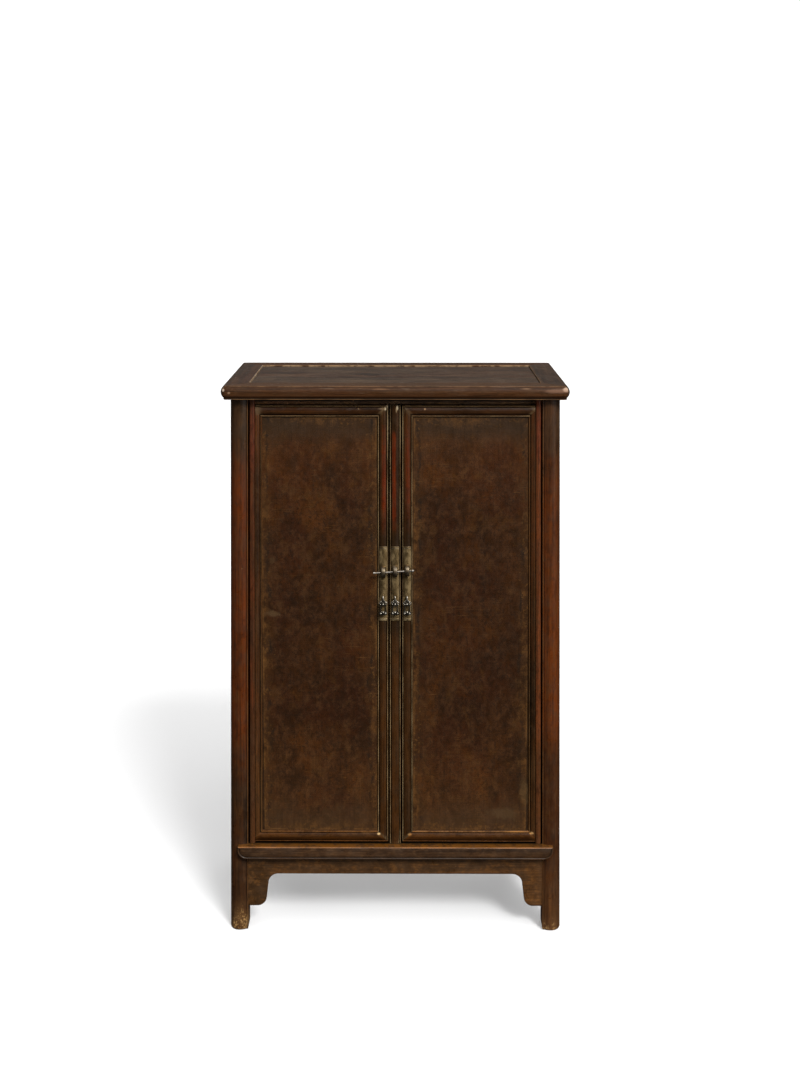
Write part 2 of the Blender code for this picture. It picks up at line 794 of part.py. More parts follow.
for sx, side in ((-1, "left"), (1, "right")):
    body = f"{side}_door"
    # rails, with the mitre at both ends
    for level, edge, up in (("top", DOOR_T, -1), ("bottom", DOOR_B, 1)):
        rail = bar(
            f"{side}_door_{level}_rail",
            RAIL_OUTLINE,
            lambda a, b: MEET_X + a * MM * MEET_W / RAIL_W + MITRE_GAP,
            lambda a, b: HINGE_X - hinge_slope(a) - MITRE_GAP,
            lambda a, b, c, sx=sx, edge=edge, up=up: (
                sx * c,
                -DOOR_Y - b * MM,
                edge + up * a * MM,
            ),
        )
        z = tuple(sorted((edge + up * RAIL_TENON[0], edge + up * RAIL_TENON[1])))
        tenon_y = (-DOOR_Y + 0.0115, -DOOR_Y + 0.0160)
        join(
            rail,
            plug(on_x(sx, MEET_X + 0.0045, MEET_IN_X + 0.003), tenon_y, z),
            plug(on_x(sx, PANEL_OUT_X - 0.003, HINGE_X - 0.0025), tenon_y, z),
        )
        finish(rail, FRAME_WOOD, body)
    mortises = lambda sx, x0, x1: [
        hole(
            on_x(sx, x0, x1),
            (-DOOR_Y + 0.0115, -DOOR_Y + 0.0160),
            tuple(sorted((edge + up * RAIL_TENON[0], edge + up * RAIL_TENON[1]))),
        )
        for edge, up in ((DOOR_T, -1), (DOOR_B, 1))
    ]
    batten_tenons = lambda sx, make: [
        make(
            on_x(sx, MEET_IN_X - 0.0070, PANEL_OUT_X + 0.0070),
            (-DOOR_Y + 0.0110, -DOOR_Y + 0.0160),
            (z - 0.008, z + 0.008),
        )
        for z in DOOR_BATTENS
    ]
    # meeting stile
    ratio = RAIL_W / MEET_W
    stile = bar(
        f"{side}_door_meeting_stile",
        MEET_OUTLINE,
        lambda a, b: DOOR_B + a * MM * ratio + MITRE_GAP,
        lambda a, b: DOOR_T - a * MM * ratio - MITRE_GAP,
        upright(MEET_X, sx),
    )
    finish(
        cut(
            stile,
            *mortises(sx, MEET_X + 0.0045, MEET_IN_X + 0.003),
            *batten_tenons(sx, hole),
            *shank_holes(sx * MEET_MID),
        ),
        FRAME_WOOD,
        body,
    )
    # hinge stile: the moulded board and its rod, whose ends turn in sockets
    slope = lambda a: (W_OUT + max(0.0, a - U_OUT)) * MM + MITRE_GAP
    stile = bar(
        f"{side}_door_hinge_stile",
        HINGE_OUTLINE,
        lambda a, b: DOOR_B + slope(a),
        lambda a, b: DOOR_T - slope(a),
        lambda a, b, c, sx=sx: (sx * (HINGE_X - a * MM), -DOOR_Y - b * MM, c),
    )
    low, high = (SILL_T + 0.0006) / MM, (UNDER - 0.0006) / MM
    rod = turned(
        "rod",
        [
            (0, high + 10.5),
            (PIVOT_R, high + 10.5),
            (PIVOT_R, high),
            (ROD_R, high),
            (ROD_R, low),
            (PIVOT_R, low),
            (PIVOT_R, low - 11.5),
            (0, low - 11.5),
        ],
        20,
        lambda a, b, c, sx=sx: (sx * HINGE_X + a * MM, -DOOR_Y + b * MM, c * MM),
        CUTTERS,
    )
    cut(
        stile,
        *mortises(sx, PANEL_OUT_X - 0.003, HINGE_X - 0.0025),
        *batten_tenons(sx, hole),
    )
    finish(join(stile, rod), FRAME_WOOD, body)
    # panel and battens
    deep = (GROOVE_DEEP - 0.8) * MM
    finish(
        box(
            f"{side}_door_panel",
            on_x(sx, MEET_IN_X - deep, PANEL_OUT_X + deep),
            (-DOOR_Y - PANEL_FACE * MM, -DOOR_Y - (PANEL_FACE - PANEL_T) * MM),
            (DOOR_B + RAIL_W * MM - deep, DOOR_T - RAIL_W * MM + deep),
        ),
        PANEL_WOOD,
        body,
    )
    for level, z in zip(("lower", "upper"), DOOR_BATTENS):
        batten = box(
            f"{side}_door_{level}_batten",
            on_x(sx, MEET_IN_X + GAP, PANEL_OUT_X - GAP),
            (-DOOR_Y - BATTEN_T[0] * MM, -DOOR_Y - BATTEN_T[1] * MM),
            (z - 0.012, z + 0.012),
        )
        tenon = plug(
            on_x(sx, MEET_IN_X - 0.0067, PANEL_OUT_X + 0.0067),
            (-DOOR_Y + 0.0110, -DOOR_Y + 0.0160),
            (z - 0.008, z + 0.008),
        )
        finish(join(batten, tenon), INSIDE_WOOD, body)

# ---------------------------------------------------------------- metalwork
PLATE_HALF, PLATE_THICK = 8.3, 1.2


def plate(name, x, half):
    """A lock plate bent over the swell of a stile's moulding."""
    ws = [-PLATE_HALF + 2 * PLATE_HALF * i / 8 for i in range(9)]
    under = [(w, swell(w, 0.0, half) + 0.3) for w in ws]
    over = [(w, t + PLATE_THICK) for w, t in reversed(under)]
    made = bar(
        name,
        under + over,
        lambda a, b: PLATE_B,
        lambda a, b: PLATE_T,
        lambda a, b, c: (x + a * MM, -DOOR_Y - b * MM, c),
    )
    return cut(made, *shank_holes(x))


def eye(name, x):
    """The eye that the lock pin runs through: a domed lug with a cross hole and a shank."""
    z = EYE_Z + PIN_RISE * x
    dome = [
        (6.0 + 12.4 * math.cos(a), 12.2 * math.sin(a))
        for a in (math.radians(-90 + 15 * i) for i in range(13))
    ]
    made = bar(
        name,
        dome,
        lambda a, b: x - 0.0049,
        lambda a, b: x + 0.0049,
        lambda a, b, c: (c, -DOOR_Y - a * MM, z + b * MM),
    )
    join(made, shank(x, 0, plug, 5.5, 7.5))
    bore = turned(
        "bore",
        [(0, 8.0), (2.85, 8.0), (2.85, -8.0), (0, -8.0)],
        14,
        lambda a, b, c: (
            x + c * MM,
            -DOOR_Y - PIN_T * MM + a * MM,
            z + PIN_RISE * c * MM + b * MM,
        ),
        CUTTERS,
    )
    return cut(made, bore)


def staple(name, x):
    """The ring that a pull hangs on, with its shank."""
    bpy.ops.mesh.primitive_torus_add(
        major_radius=RING_R,
        minor_radius=RING_WIRE,
        major_segments=16,
        minor_segments=8,
    )
    ring = bpy.context.object
    mesh = ring.data.copy()
    bpy.data.objects.remove(ring)
    place = lambda a, b, c: (
        x + c * MM,
        -DOOR_Y - (RING_T + a) * MM,
        STAPLE_Z + b * MM,
    )
    made = add(name, tidy(mesh, place))
    return join(made, shank(x, 1, plug, 5.5, RING_T - RING_R + 0.2))


PULL_HALF = [
    (0.0, 3.4),
    (1.8, 3.0),
    (3.2, 1.4),
    (3.4, -0.6),
    (2.7, -2.6),
    (2.5, -3.6),
    (4.0, -4.6),
    (6.4, -5.2),
    (8.2, -6.8),
    (8.5, -9.0),
    (7.6, -10.8),
    (6.5, -11.8),
    (6.1, -13.5),
    (6.0, -17.5),
    (6.2, -20.4),
    (7.0, -22.0),
    (7.8, -24.2),
    (7.3, -26.8),
    (5.2, -28.2),
    (2.8, -27.6),
    (1.4, -28.6),
    (0.0, -29.2),
]
PULL_THICK = 2.2


def pull(name, x):
    """A pendant pull with an openwork body, hanging from its ring."""
    outline = PULL_HALF + [(-a, b) for a, b in reversed(PULL_HALF[1:-1])]
    holes = [
        arc(0.0, 0.0, 1.8, 0, 324, 9),
        arc(4.6, -8.0, 1.6, 0, 315, 7),
        arc(-4.6, -8.0, 1.6, 0, 315, 7),
        arc(1.6, -14.3, 1.7, 0, 90, 2)
        + arc(-1.6, -14.3, 1.7, 90, 180, 2)
        + arc(-1.6, -18.9, 1.7, 180, 270, 2)
        + arc(1.6, -18.9, 1.7, 270, 360, 2),
    ]
    return sheet(
        name,
        [outline] + holes,
        -DOOR_Y - (RING_T + PULL_THICK / 2) * MM,
        -DOOR_Y - (RING_T - PULL_THICK / 2) * MM,
        lambda a, b, c: (x + a * MM, c, STAPLE_Z + (b - RING_R) * MM),
    )


SWELL_HALF = {"centre": 9.0, "left": (MEET_W - 2.0) / 2 - 2.6}
for where, x, body in (
    ("left", -MEET_MID, "left_door"),
    ("centre", 0.0, None),
    ("right", MEET_MID, "right_door"),
):
    half = SWELL_HALF.get(where, SWELL_HALF["left"])
    finish(plate(f"{where}_lock_plate", x, half), BRASS, body)
    finish(eye(f"{where}_lock_eye", x), BRASS, body)
    finish(staple(f"{where}_pull_staple", x), BRASS, body)
    finish(pull(f"{where}_pull", x), BRASS, f"{where}_pull")

PIN = [
    (0, 39.6),
    (1.7, 39.1),
    (2.9, 37.9),
    (3.4, 36.3),
    (3.0, 34.6),
    (2.3, 33.6),
    (2.1, 33.0),
    (2.1, -42.6),
    (2.5, -44.6),
    (2.4, -45.8),
    (0, -46.0),
]
lock_pin = turned(
    "lock_pin",
    PIN,
    12,
    lambda a, b, c: (
        c * MM,
        -DOOR_Y - PIN_T * MM + a * MM,
        EYE_Z + PIN_RISE * c * MM + b * MM,
    ),
)
finish(lock_pin, BRASS, "lock_pin")


# ---------------------------------------------------------------- parents, on the joint axes
def splayed(x, y, z):
    k = section(z)
    return (x * k, y * k, z)


AXES = {
    "left_door": splayed(-HINGE_X, -DOOR_Y, 0.66),
    "right_door": splayed(HINGE_X, -DOOR_Y, 0.66),
    "left_pull": splayed(-MEET_MID, -DOOR_Y - RING_T * MM, STAPLE_Z),
    "centre_pull": splayed(0.0, -DOOR_Y - RING_T * MM, STAPLE_Z),
    "right_pull": splayed(MEET_MID, -DOOR_Y - RING_T * MM, STAPLE_Z),
    "lock_pin": splayed(0.0, -DOOR_Y - PIN_T * MM, EYE_Z),
}
carcase = add("carcase", None)
empties = {None: carcase}
for body, place in AXES.items():
    empties[body] = add(f"{body}_axis", None)
    empties[body].location = place
for body in AXES:
    holder = {"left_pull": "left_door", "right_pull": "right_door"}.get(body)
    parent, child = empties[holder], empties[body]
    child.parent = parent
    child.location = child.location - parent.location
bpy.context.view_layer.update()
for obj, body in MADE:
    obj.parent = empties[body]
    obj.matrix_parent_inverse = empties[body].matrix_world.inverted()
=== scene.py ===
"""Looks of the sloping-stile cabinet: fine mouldings, old lacquered wood, aged brass, studio light.

Everything is in the cabinet's frame: +X right, front towards -Y, +Z up, metres. Outlines and mouldings are
in millimetres. Uprights are drawn plumb and then splayed, as in the construction.
"""

import math

import bmesh
import bpy
import numpy as np
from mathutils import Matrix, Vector, noise


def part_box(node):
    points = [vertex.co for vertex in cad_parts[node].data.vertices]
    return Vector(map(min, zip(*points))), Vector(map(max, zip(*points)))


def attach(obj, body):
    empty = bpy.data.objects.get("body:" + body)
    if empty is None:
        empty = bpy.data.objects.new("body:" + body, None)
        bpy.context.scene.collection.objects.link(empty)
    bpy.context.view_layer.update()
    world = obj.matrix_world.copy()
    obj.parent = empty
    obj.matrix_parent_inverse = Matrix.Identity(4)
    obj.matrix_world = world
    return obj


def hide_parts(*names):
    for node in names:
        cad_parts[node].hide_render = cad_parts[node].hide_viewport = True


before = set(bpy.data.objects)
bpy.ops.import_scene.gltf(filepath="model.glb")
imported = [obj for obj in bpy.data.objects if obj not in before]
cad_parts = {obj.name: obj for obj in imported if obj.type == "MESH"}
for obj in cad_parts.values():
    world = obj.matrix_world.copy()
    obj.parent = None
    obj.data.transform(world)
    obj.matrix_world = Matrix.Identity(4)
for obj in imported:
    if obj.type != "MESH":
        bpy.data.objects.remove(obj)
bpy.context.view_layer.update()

# ---------------------------------------------------------------- construction dimensions
TOP_W, TOP_D, HEIGHT = 0.720, 0.400, 1.185
TOP_T, TOP_MEMBER_W, TOP_PANEL_DROP = 0.029, 0.056, 0.003
SPLAY, GAP = 0.039, 0.0003
LEG_IN_X, LEG_IN_Y = 0.3052, 0.136
SILL_T, SILL_B, SILL_END, SILL_FRONT = 0.1930, 0.1656, 0.3260, 0.1930
DOOR_B, DOOR_T, DOOR_Y = 0.1960, 1.1416, 0.1705
RAIL_W, MEET_W, MEET_X = 25.0, 23.4, 0.01396
PANEL_OUT_X, HINGE_X = 0.2760, 0.2965
ROD_R, PIVOT_R, CENTRE_HALF, DOOR_BACK = 5.7, 4.3, 12.0, 17.5
APRON_B, SPANDREL_B = 0.1244, 0.0525
PLATE_B, PLATE_T = 0.6831, 0.8405
EYE_Z, STAPLE_Z, PIN_RISE, PIN_T = 0.7910, 0.7302, 0.061, 12.3
RING_R, RING_WIRE, RING_T = 4.0, 1.1, 11.0
PANEL_FACE, PANEL_T, GROOVE_DEEP = -2.2, 7.0, 7.5
FRONT_APRON_Y, BACK_APRON_Y, SIDE_APRON_X = (
    (0.165, 0.174),
    (0.160, 0.169),
    (0.3245, 0.3335),
)
APRON_TONGUE = 0.0045
UNDER = HEIGHT - TOP_T
MM = 0.001


def section(z):
    return 1.0 + SPLAY * max(0.0, 1.0 - z / UNDER)


def arc(cx, cy, r, start, stop, steps):
    angles = [math.radians(start + (stop - start) * i / steps) for i in range(steps + 1)]
    return [(cx + r * math.cos(a), cy + r * math.sin(a)) for a in angles]


def smooth(lo, hi, v):
    t = min(1.0, max(0.0, (v - lo) / (hi - lo)))
    return t * t * (3 - 2 * t)


# ---------------------------------------------------------------- outlines: rounding, and where wear, painted highlights, grime and painted shade gather
def fine_outline(points, round_r=0.7, step=0.8, corner=58.0, window=1.1):
    """A closed outline drawn finer: curves smoothed, arrises rounded. Returns points, wear with painted highlights,
    and grime with painted shade.

    The wear and painted highlights follow how sharply the outline turns outwards near a point, and the grime and
    painted shade how sharply it turns inwards.
    """
    pts = [np.array(p, float) for p in points]
    pts = [p for i, p in enumerate(pts) if np.linalg.norm(p - pts[i - 1]) > 1e-6]
    area = sum(a[0] * b[1] - b[0] * a[1] for a, b in zip(pts, pts[1:] + pts[:1]))
    if area < 0:
        pts.reverse()
    n = len(pts)
    nodes = []  # (point, hard)
    for i, p in enumerate(pts):
        before, after = pts[i - 1] - p, pts[(i + 1) % n] - p
        la, lb = np.linalg.norm(before), np.linalg.norm(after)
        turn = math.degrees(
            math.atan2(
                -before[0] * after[1] + before[1] * after[0],
                -before[0] * after[0] - before[1] * after[1],
            )
        )
        if turn > corner:
            ra, rb = min(round_r, 0.35 * la), min(round_r, 0.35 * lb)
            a, b = p + before / la * ra, p + after / lb * rb
            a0 = p + before / la * min(0.48 * la, ra + 1.2)
            b0 = p + after / lb * min(0.48 * lb, rb + 1.2)
            mids = [
                (1 - t) ** 2 * a + 2 * t * (1 - t) * p + t * t * b for t in (0.3, 0.7)
            ]
            nodes += [(q, True) for q in (a0, a, *mids, b, b0)]
        else:
            nodes.append((p, turn < -corner))
    n = len(nodes)
    made = []
    for i in range(n):
        (p, hard_p), (q, hard_q) = nodes[i], nodes[(i + 1) % n]
        made.append(p)
        length = np.linalg.norm(q - p)
        if (hard_p and hard_q) or length < 0.6 * step:
            continue
        before, after = nodes[i - 1][0], nodes[(i + 2) % n][0]

        def tangent(prev, here, nxt):
            return (
                (nxt - prev)
                / max(1e-9, np.linalg.norm(nxt - here) + np.linalg.norm(here - prev))
                * length
            )

        mp = q - p if hard_p else tangent(before, p, q)
        mq = q - p if hard_q else tangent(p, q, after)
        count = min(8, max(2, math.ceil(length / step)))
        for k in range(1, count):
            t = k / count
            made.append(
                (2 * t**3 - 3 * t * t + 1) * p
                + (t**3 - 2 * t * t + t) * mp
                + (3 * t * t - 2 * t**3) * q
                + (t**3 - t * t) * mq
            )
    pts = np.array(made)
    closed = np.vstack([pts, pts, pts, pts[:1]])
    run_len = np.concatenate(
        [[0], np.cumsum(np.linalg.norm(np.diff(closed, axis=0), axis=1))]
    )
    n = len(pts)
    at = run_len[n : 2 * n]

    def sample(s):
        return np.stack([np.interp(s, run_len, closed[:, k]) for k in (0, 1)], axis=1)

    def turning(reach):
        back, ahead = pts - sample(at - reach), sample(at + reach) - pts
        cross = back[:, 0] * ahead[:, 1] - back[:, 1] * ahead[:, 0]
        return np.arctan2(cross, (back * ahead).sum(axis=1))

    turn, wide = turning(window), turning(1.7 * window)
    # rubbing and painted highlights on the outward turns
    wear = np.clip((turn - 0.35) / 0.9, 0, 1)
    # grime and painted shade in the inward turns: the wider reach spreads a soft painted shade across grooves and
    # recesses
    dirt = np.clip(np.maximum((-turn - 0.22) / 0.6, (-wide - 0.30) / 0.9), 0, 1)
    return pts, wear, dirt


# ---------------------------------------------------------------- mesh helpers
class Shape:
    """Points, faces, wear with painted highlights, and grime with painted shade of a piece under construction.
    Metres.
    """

    def __init__(self):
        self.points, self.faces, self.wear, self.dirt = [], [], [], []

    def add(self, points, faces, wear=None, dirt=None):
        first = len(self.points)
        self.points += [tuple(p) for p in points]
        self.faces += [tuple(first + i for i in f) for f in faces]
        self.wear += list(wear) if wear is not None else [0.0] * len(points)
        self.dirt += list(dirt) if dirt is not None else [0.0] * len(points)
        return self

    def splay(self):
        self.points = [(x * section(z), y * section(z), z) for x, y, z in self.points]
        return self


def ring_faces(rings, around, cap=True):
    faces = []
    for r in range(rings - 1):
        for i in range(around):
            j = (i + 1) % around
            faces.append(
                (r * around + i, r * around + j, (r + 1) * around + j, (r + 1) * around + i)
            )
    if cap:
        faces.append(tuple(reversed(range(around))))
        faces.append(tuple(range((rings - 1) * around, rings * around)))
    return faces


def run(points, low, high, place, stations, end_wear=0.0, face_from=None, **how):
    """A moulded bar: the outline (a, b) run from low(a, b) to high(a, b) through the stations (0 to 1)."""
    pts, wear, dirt = fine_outline(points, **how)
    verts, wears, dirts = [], [], []
    for t in stations:
        for (a, b), w, d in zip(pts, wear, dirt):
            lo, hi = low(a, b), high(a, b)
            verts.append(place(a, b, lo + (hi - lo) * t))
            near = min(t, 1 - t) * (hi - lo)
            # rubbing and a painted highlight at the bar's mitred ends
            rub = end_wear * (1 - smooth(0.002, 0.016, near))
            if face_from is not None and b < face_from:
                rub = 0.0
            wears.append(min(1.0, w + rub))
            dirts.append(d)
    return Shape().add(
        verts, ring_faces(len(stations), len(pts)), wears, dirts
    )


def stations(count, ends=()):
    """Even stations from 0 to 1, with closer ones near both ends (fractions of the length)."""
    inner = [i / count for i in range(count + 1)]
    return sorted(set(inner) | set(ends) | {1 - e for e in ends})


def flat_shape(loops, thick, bevel, place, resolution=2):
    """A flat outline with holes, given thickness and rounded edges. The outline is in millimetres."""
    curve = bpy.data.curves.new("flat", "CURVE")
    curve.dimensions = "2D"
    curve.fill_mode = "BOTH"
    curve.extrude = thick / 2 - bevel
    curve.bevel_depth = bevel
    curve.bevel_resolution = resolution
    curve.offset = -bevel
    for loop in loops:
        spline = curve.splines.new("POLY")
        spline.points.add(len(loop) - 1)
        for point, (a, b) in zip(spline.points, loop):
            point.co = (a, b, 0.0, 1.0)
        spline.use_cyclic_u = True
    guide = bpy.data.objects.new("flat", curve)
    bpy.context.scene.collection.objects.link(guide)
    graph = bpy.context.evaluated_depsgraph_get()
    mesh = bpy.data.meshes.new_from_object(guide.evaluated_get(graph))
    bpy.data.objects.remove(guide)
    bpy.data.curves.remove(curve)
    bm = bmesh.new()
    bm.from_mesh(mesh)
    bmesh.ops.remove_doubles(bm, verts=bm.verts, dist=1e-4)
    bm.verts.index_update()
    points = [tuple(v.co) for v in bm.verts]
    faces = [[v.index for v in f.verts] for f in bm.faces]
    bm.free()
    bpy.data.meshes.remove(mesh)
    rim = [
        0.9 * smooth(0.05, 0.5, (thick / 2 - abs(p[2])) / bevel) if bevel else 0.0
        for p in points
    ]
    return Shape().add([place(*p) for p in points], faces, rim)


def slab(us, vs, face, back, place):
    """A board with a fine face: face(u, v) and back(u, v) are heights over the grid us x vs."""
    nu, nv = len(us), len(vs)
    front = [place(u, v, face(u, v)) for v in vs for u in us]
    rear = [place(u, v, back(u, v)) for v in vs for u in us]
    k = nu * nv
    faces = []
    for j in range(nv - 1):
        for i in range(nu - 1):
            a = j * nu + i
            faces.append((a, a + 1, a + nu + 1, a + nu))
            faces.append((k + a, k + a + nu, k + a + nu + 1, k + a + 1))
    rim = (
        [i for i in range(nu)]
        + [j * nu + nu - 1 for j in range(1, nv)]
        + [(nv - 1) * nu + i for i in range(nu - 2, -1, -1)]
        + [j * nu for j in range(nv - 2, 0, -1)]
    )
    for a, b in zip(rim, rim[1:] + rim[:1]):
        faces.append((a, k + a, k + b, b))
    return Shape().add(front + rear, faces)


def emboss(points, rings, place, limits):
    """An outline raised into a face. rings[k][i] is (inset, height, wear and painted highlight, grime and painted
    shade) of point i on ring k.

    limits[k] is the (half length, top) that ring k stays within.
    """
    pts = [np.array(p, float) for p in points]
    n = len(pts)
    normals = []
    for i in range(n):
        before, after = pts[i] - pts[i - 1], pts[(i + 1) % n] - pts[i]
        before, after = before / np.linalg.norm(before), after / np.linalg.norm(after)
        mid = np.array([-(before + after)[1], (before + after)[0]])
        mid /= np.linalg.norm(mid)
        cos = max(0.5, mid @ np.array([-before[1], before[0]]))
        normals.append(mid / cos)
    verts, wear, dirt = [], [], []
    for ring, (far, top) in zip(rings, limits):
        for i, (inset, height, w, d) in enumerate(ring):
            p = pts[i] + normals[i] * inset
            verts.append(place(min(far, max(-far, p[0])), min(top, p[1]), height))
            wear.append(w)
            dirt.append(d)
    return Shape().add(verts, ring_faces(len(rings), n), wear, dirt)


def turned(profile, steps, place):
    """A turned shape from (radius, height) pairs, ends on the axis. Millimetres."""
    points, faces, rows = [], [], []
    for r, h in profile:
        if r < 1e-6:
            rows.append([len(points)])
            points.append(place(0.0, 0.0, h))
        else:
            rows.append(list(range(len(points), len(points) + steps)))
            for i in range(steps):
                a = 2 * math.pi * i / steps
                points.append(place(r * math.cos(a), r * math.sin(a), h))
    for low, high in zip(rows, rows[1:]):
        for i in range(steps):
            j = (i + 1) % steps
            face = [low[i % len(low)], low[j % len(low)], high[j % len(high)], high[i % len(high)]]
            faces.append(tuple(dict.fromkeys(face)))
    return Shape().add(points, faces)


def torus(major, minor, place, around=32, tube=12):
    points, faces = [], []
    for i in range(around):
        a = 2 * math.pi * i / around
        for j in range(tube):
            b = 2 * math.pi * j / tube
            r = major + minor * math.cos(b)
            points.append(place(r * math.cos(a), r * math.sin(a), minor * math.sin(b)))
    for i in range(around):
        for j in range(tube):
            i2, j2 = (i + 1) % around, (j + 1) % tube
            faces.append((i * tube + j, i2 * tube + j, i2 * tube + j2, i * tube + j2))
    return Shape().add(points, faces)


def block(x, y, z, bevel=0.0008):
    """A plain hidden board with eased edges."""
    bm = bmesh.new()
    bmesh.ops.create_cube(bm, size=1.0)
    for v in bm.verts:
        v.co = [(lo + hi) / 2 + c * (hi - lo) for c, (lo, hi) in zip(v.co, (x, y, z))]
    bmesh.ops.bevel(
        bm, geom=bm.edges[:], offset=bevel, segments=2, profile=0.5, affect="EDGES"
    )
    bm.verts.index_update()
    points = [tuple(v.co) for v in bm.verts]
    faces = [[v.index for v in f.verts] for f in bm.faces]
    bm.free()
    return Shape().add(points, faces)


def uneven(shape, amount, scale, seed):
    """Hand-made unevenness: moves each point a little."""
    off = Vector((seed * 7.3, seed * 3.1, seed * 1.7))
    moved = []
    for p in shape.points:
        q = Vector(p)
        moved.append(tuple(q + noise.noise_vector(q * scale + off) * amount))
    shape.points = moved
    return shape


def piece(name, shapes, body, node, mat, sharp=38.0):
    """Makes the object of one or more shapes, puts it on its body and lets it stand for a CAD node."""
    whole = bmesh.new()
    mesh = bpy.data.meshes.new(name)
    for s in shapes:
        bm = bmesh.new()
        layers = [bm.verts.layers.float.new(label) for label in ("wear", "dirt")]
        verts = []
        for point, w, d in zip(s.points, s.wear, s.dirt):
            v = bm.verts.new(point)
            v[layers[0]], v[layers[1]] = w, d
            verts.append(v)
        for f in s.faces:
            if len(set(f)) > 2:
                bm.faces.new([verts[i] for i in dict.fromkeys(f)])
        bmesh.ops.remove_doubles(bm, verts=bm.verts, dist=2e-6)
        bmesh.ops.recalc_face_normals(bm, faces=bm.faces)
        if bm.calc_volume(signed=True) < 0:
            bmesh.ops.reverse_faces(bm, faces=bm.faces)
        bm.to_mesh(mesh)
        bm.free()
        whole.from_mesh(mesh)
    whole.to_mesh(mesh)
    whole.free()
    mesh.shade_smooth()
    mesh.set_sharp_from_angle(angle=math.radians(sharp))
    mesh.materials.append(mat)
    obj = bpy.data.objects.new(name, mesh)
    bpy.context.scene.collection.objects.link(obj)
    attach(obj, body)
    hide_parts(node)
    return obj


# ---------------------------------------------------------------- materials
def linear(c):
    c /= 255.0
    return c / 12.92 if c <= 0.04045 else ((c + 0.055) / 1.055) ** 2.4


TONE = 0.80  # albedo of a surface that should show at a given screen colour


def tone(r, g, b, k=TONE):
    return (linear(r) * k, linear(g) * k, linear(b) * k, 1.0)


class Tree:
    """Short names for the nodes that a procedural material is made of."""

    def __init__(self, name):
        self.mat = bpy.data.materials.new(name)
        self.mat.use_nodes = True
        self.nodes = self.mat.node_tree.nodes
        self.links = self.mat.node_tree.links
        self.shader = self.nodes["Principled BSDF"]
        self.coord = self.nodes.new("ShaderNodeTexCoord").outputs["Object"]

    def put(self, socket, value):
        if isinstance(value, bpy.types.NodeSocket):
            self.links.new(value, socket)
        elif value is not None:
            socket.default_value = value

    def mapping(self, scale, offset=(0, 0, 0), vector=None):
        node = self.nodes.new("ShaderNodeMapping")
        self.links.new(vector or self.coord, node.inputs["Vector"])
        node.inputs["Scale"].default_value = scale
        node.inputs["Location"].default_value = offset
        return node.outputs["Vector"]

    def noise(self, vector, scale=1.0, detail=4.0, rough=0.55, distortion=0.0):
        node = self.nodes.new("ShaderNodeTexNoise")
        self.links.new(vector, node.inputs["Vector"])
        node.inputs["Scale"].default_value = scale
        node.inputs["Detail"].default_value = detail
        node.inputs["Roughness"].default_value = rough
        node.inputs["Distortion"].default_value = distortion
        return node.outputs["Fac"]

    def voronoi(self, vector, scale=1.0, feature="F1", out="Distance"):
        node = self.nodes.new("ShaderNodeTexVoronoi")
        node.feature = feature
        self.links.new(vector, node.inputs["Vector"])
        node.inputs["Scale"].default_value = scale
        return node.outputs[out]

    def math(self, op, a, b=None, clamp=False):
        node = self.nodes.new("ShaderNodeMath")
        node.operation = op
        node.use_clamp = clamp
        self.put(node.inputs[0], a)
        self.put(node.inputs[1], b)
        return node.outputs[0]

    def fade(self, value, lo, hi, to_lo=0.0, to_hi=1.0):
        node = self.nodes.new("ShaderNodeMapRange")
        node.interpolation_type = "SMOOTHSTEP"
        self.put(node.inputs["Value"], value)
        for label, v in (
            ("From Min", lo),
            ("From Max", hi),
            ("To Min", to_lo),
            ("To Max", to_hi),
        ):
            node.inputs[label].default_value = v
        return node.outputs["Result"]

    def mix(self, fac, a, b, mode="MIX"):
        node = self.nodes.new("ShaderNodeMix")
        node.data_type = "RGBA"
        node.blend_type = mode
        self.put(node.inputs[0], fac)
        self.put(node.inputs[6], a)
        self.put(node.inputs[7], b)
        return node.outputs[2]

    def attribute(self, name):
        node = self.nodes.new("ShaderNodeAttribute")
        node.attribute_name = name
        return node.outputs["Fac"]

    def split(self, vector=None):
        node = self.nodes.new("ShaderNodeSeparateXYZ")
        self.links.new(vector or self.coord, node.inputs[0])
        return node.outputs

    def bump(self, height, strength, distance, normal=None):
        node = self.nodes.new("ShaderNodeBump")
        node.inputs["Strength"].default_value = strength
        node.inputs["Distance"].default_value = distance
        self.links.new(height, node.inputs["Height"])
        if normal is not None:
            self.links.new(normal, node.inputs["Normal"])
        return node.outputs["Normal"]

    def finish(self, colour, rough, normal, specular=0.30, metallic=0.0, gain=(1, 1, 1)):
        colour = self.mix(1.0, colour, (*gain, 1.0), "MULTIPLY")
        self.put(self.shader.inputs["Base Color"], colour)
        self.put(self.shader.inputs["Roughness"], rough)
        self.put(self.shader.inputs["Normal"], normal)
        self.shader.inputs["Specular IOR Level"].default_value = specular
        self.put(self.shader.inputs["Metallic"], metallic)
        return self.mat


GRAIN = {"X": (1, 0, 0), "Y": (0, 1, 0), "Z": (0, 0, 1)}


def grain_scale(axis, across, along):
    return tuple(along if a else across for a in GRAIN[axis])


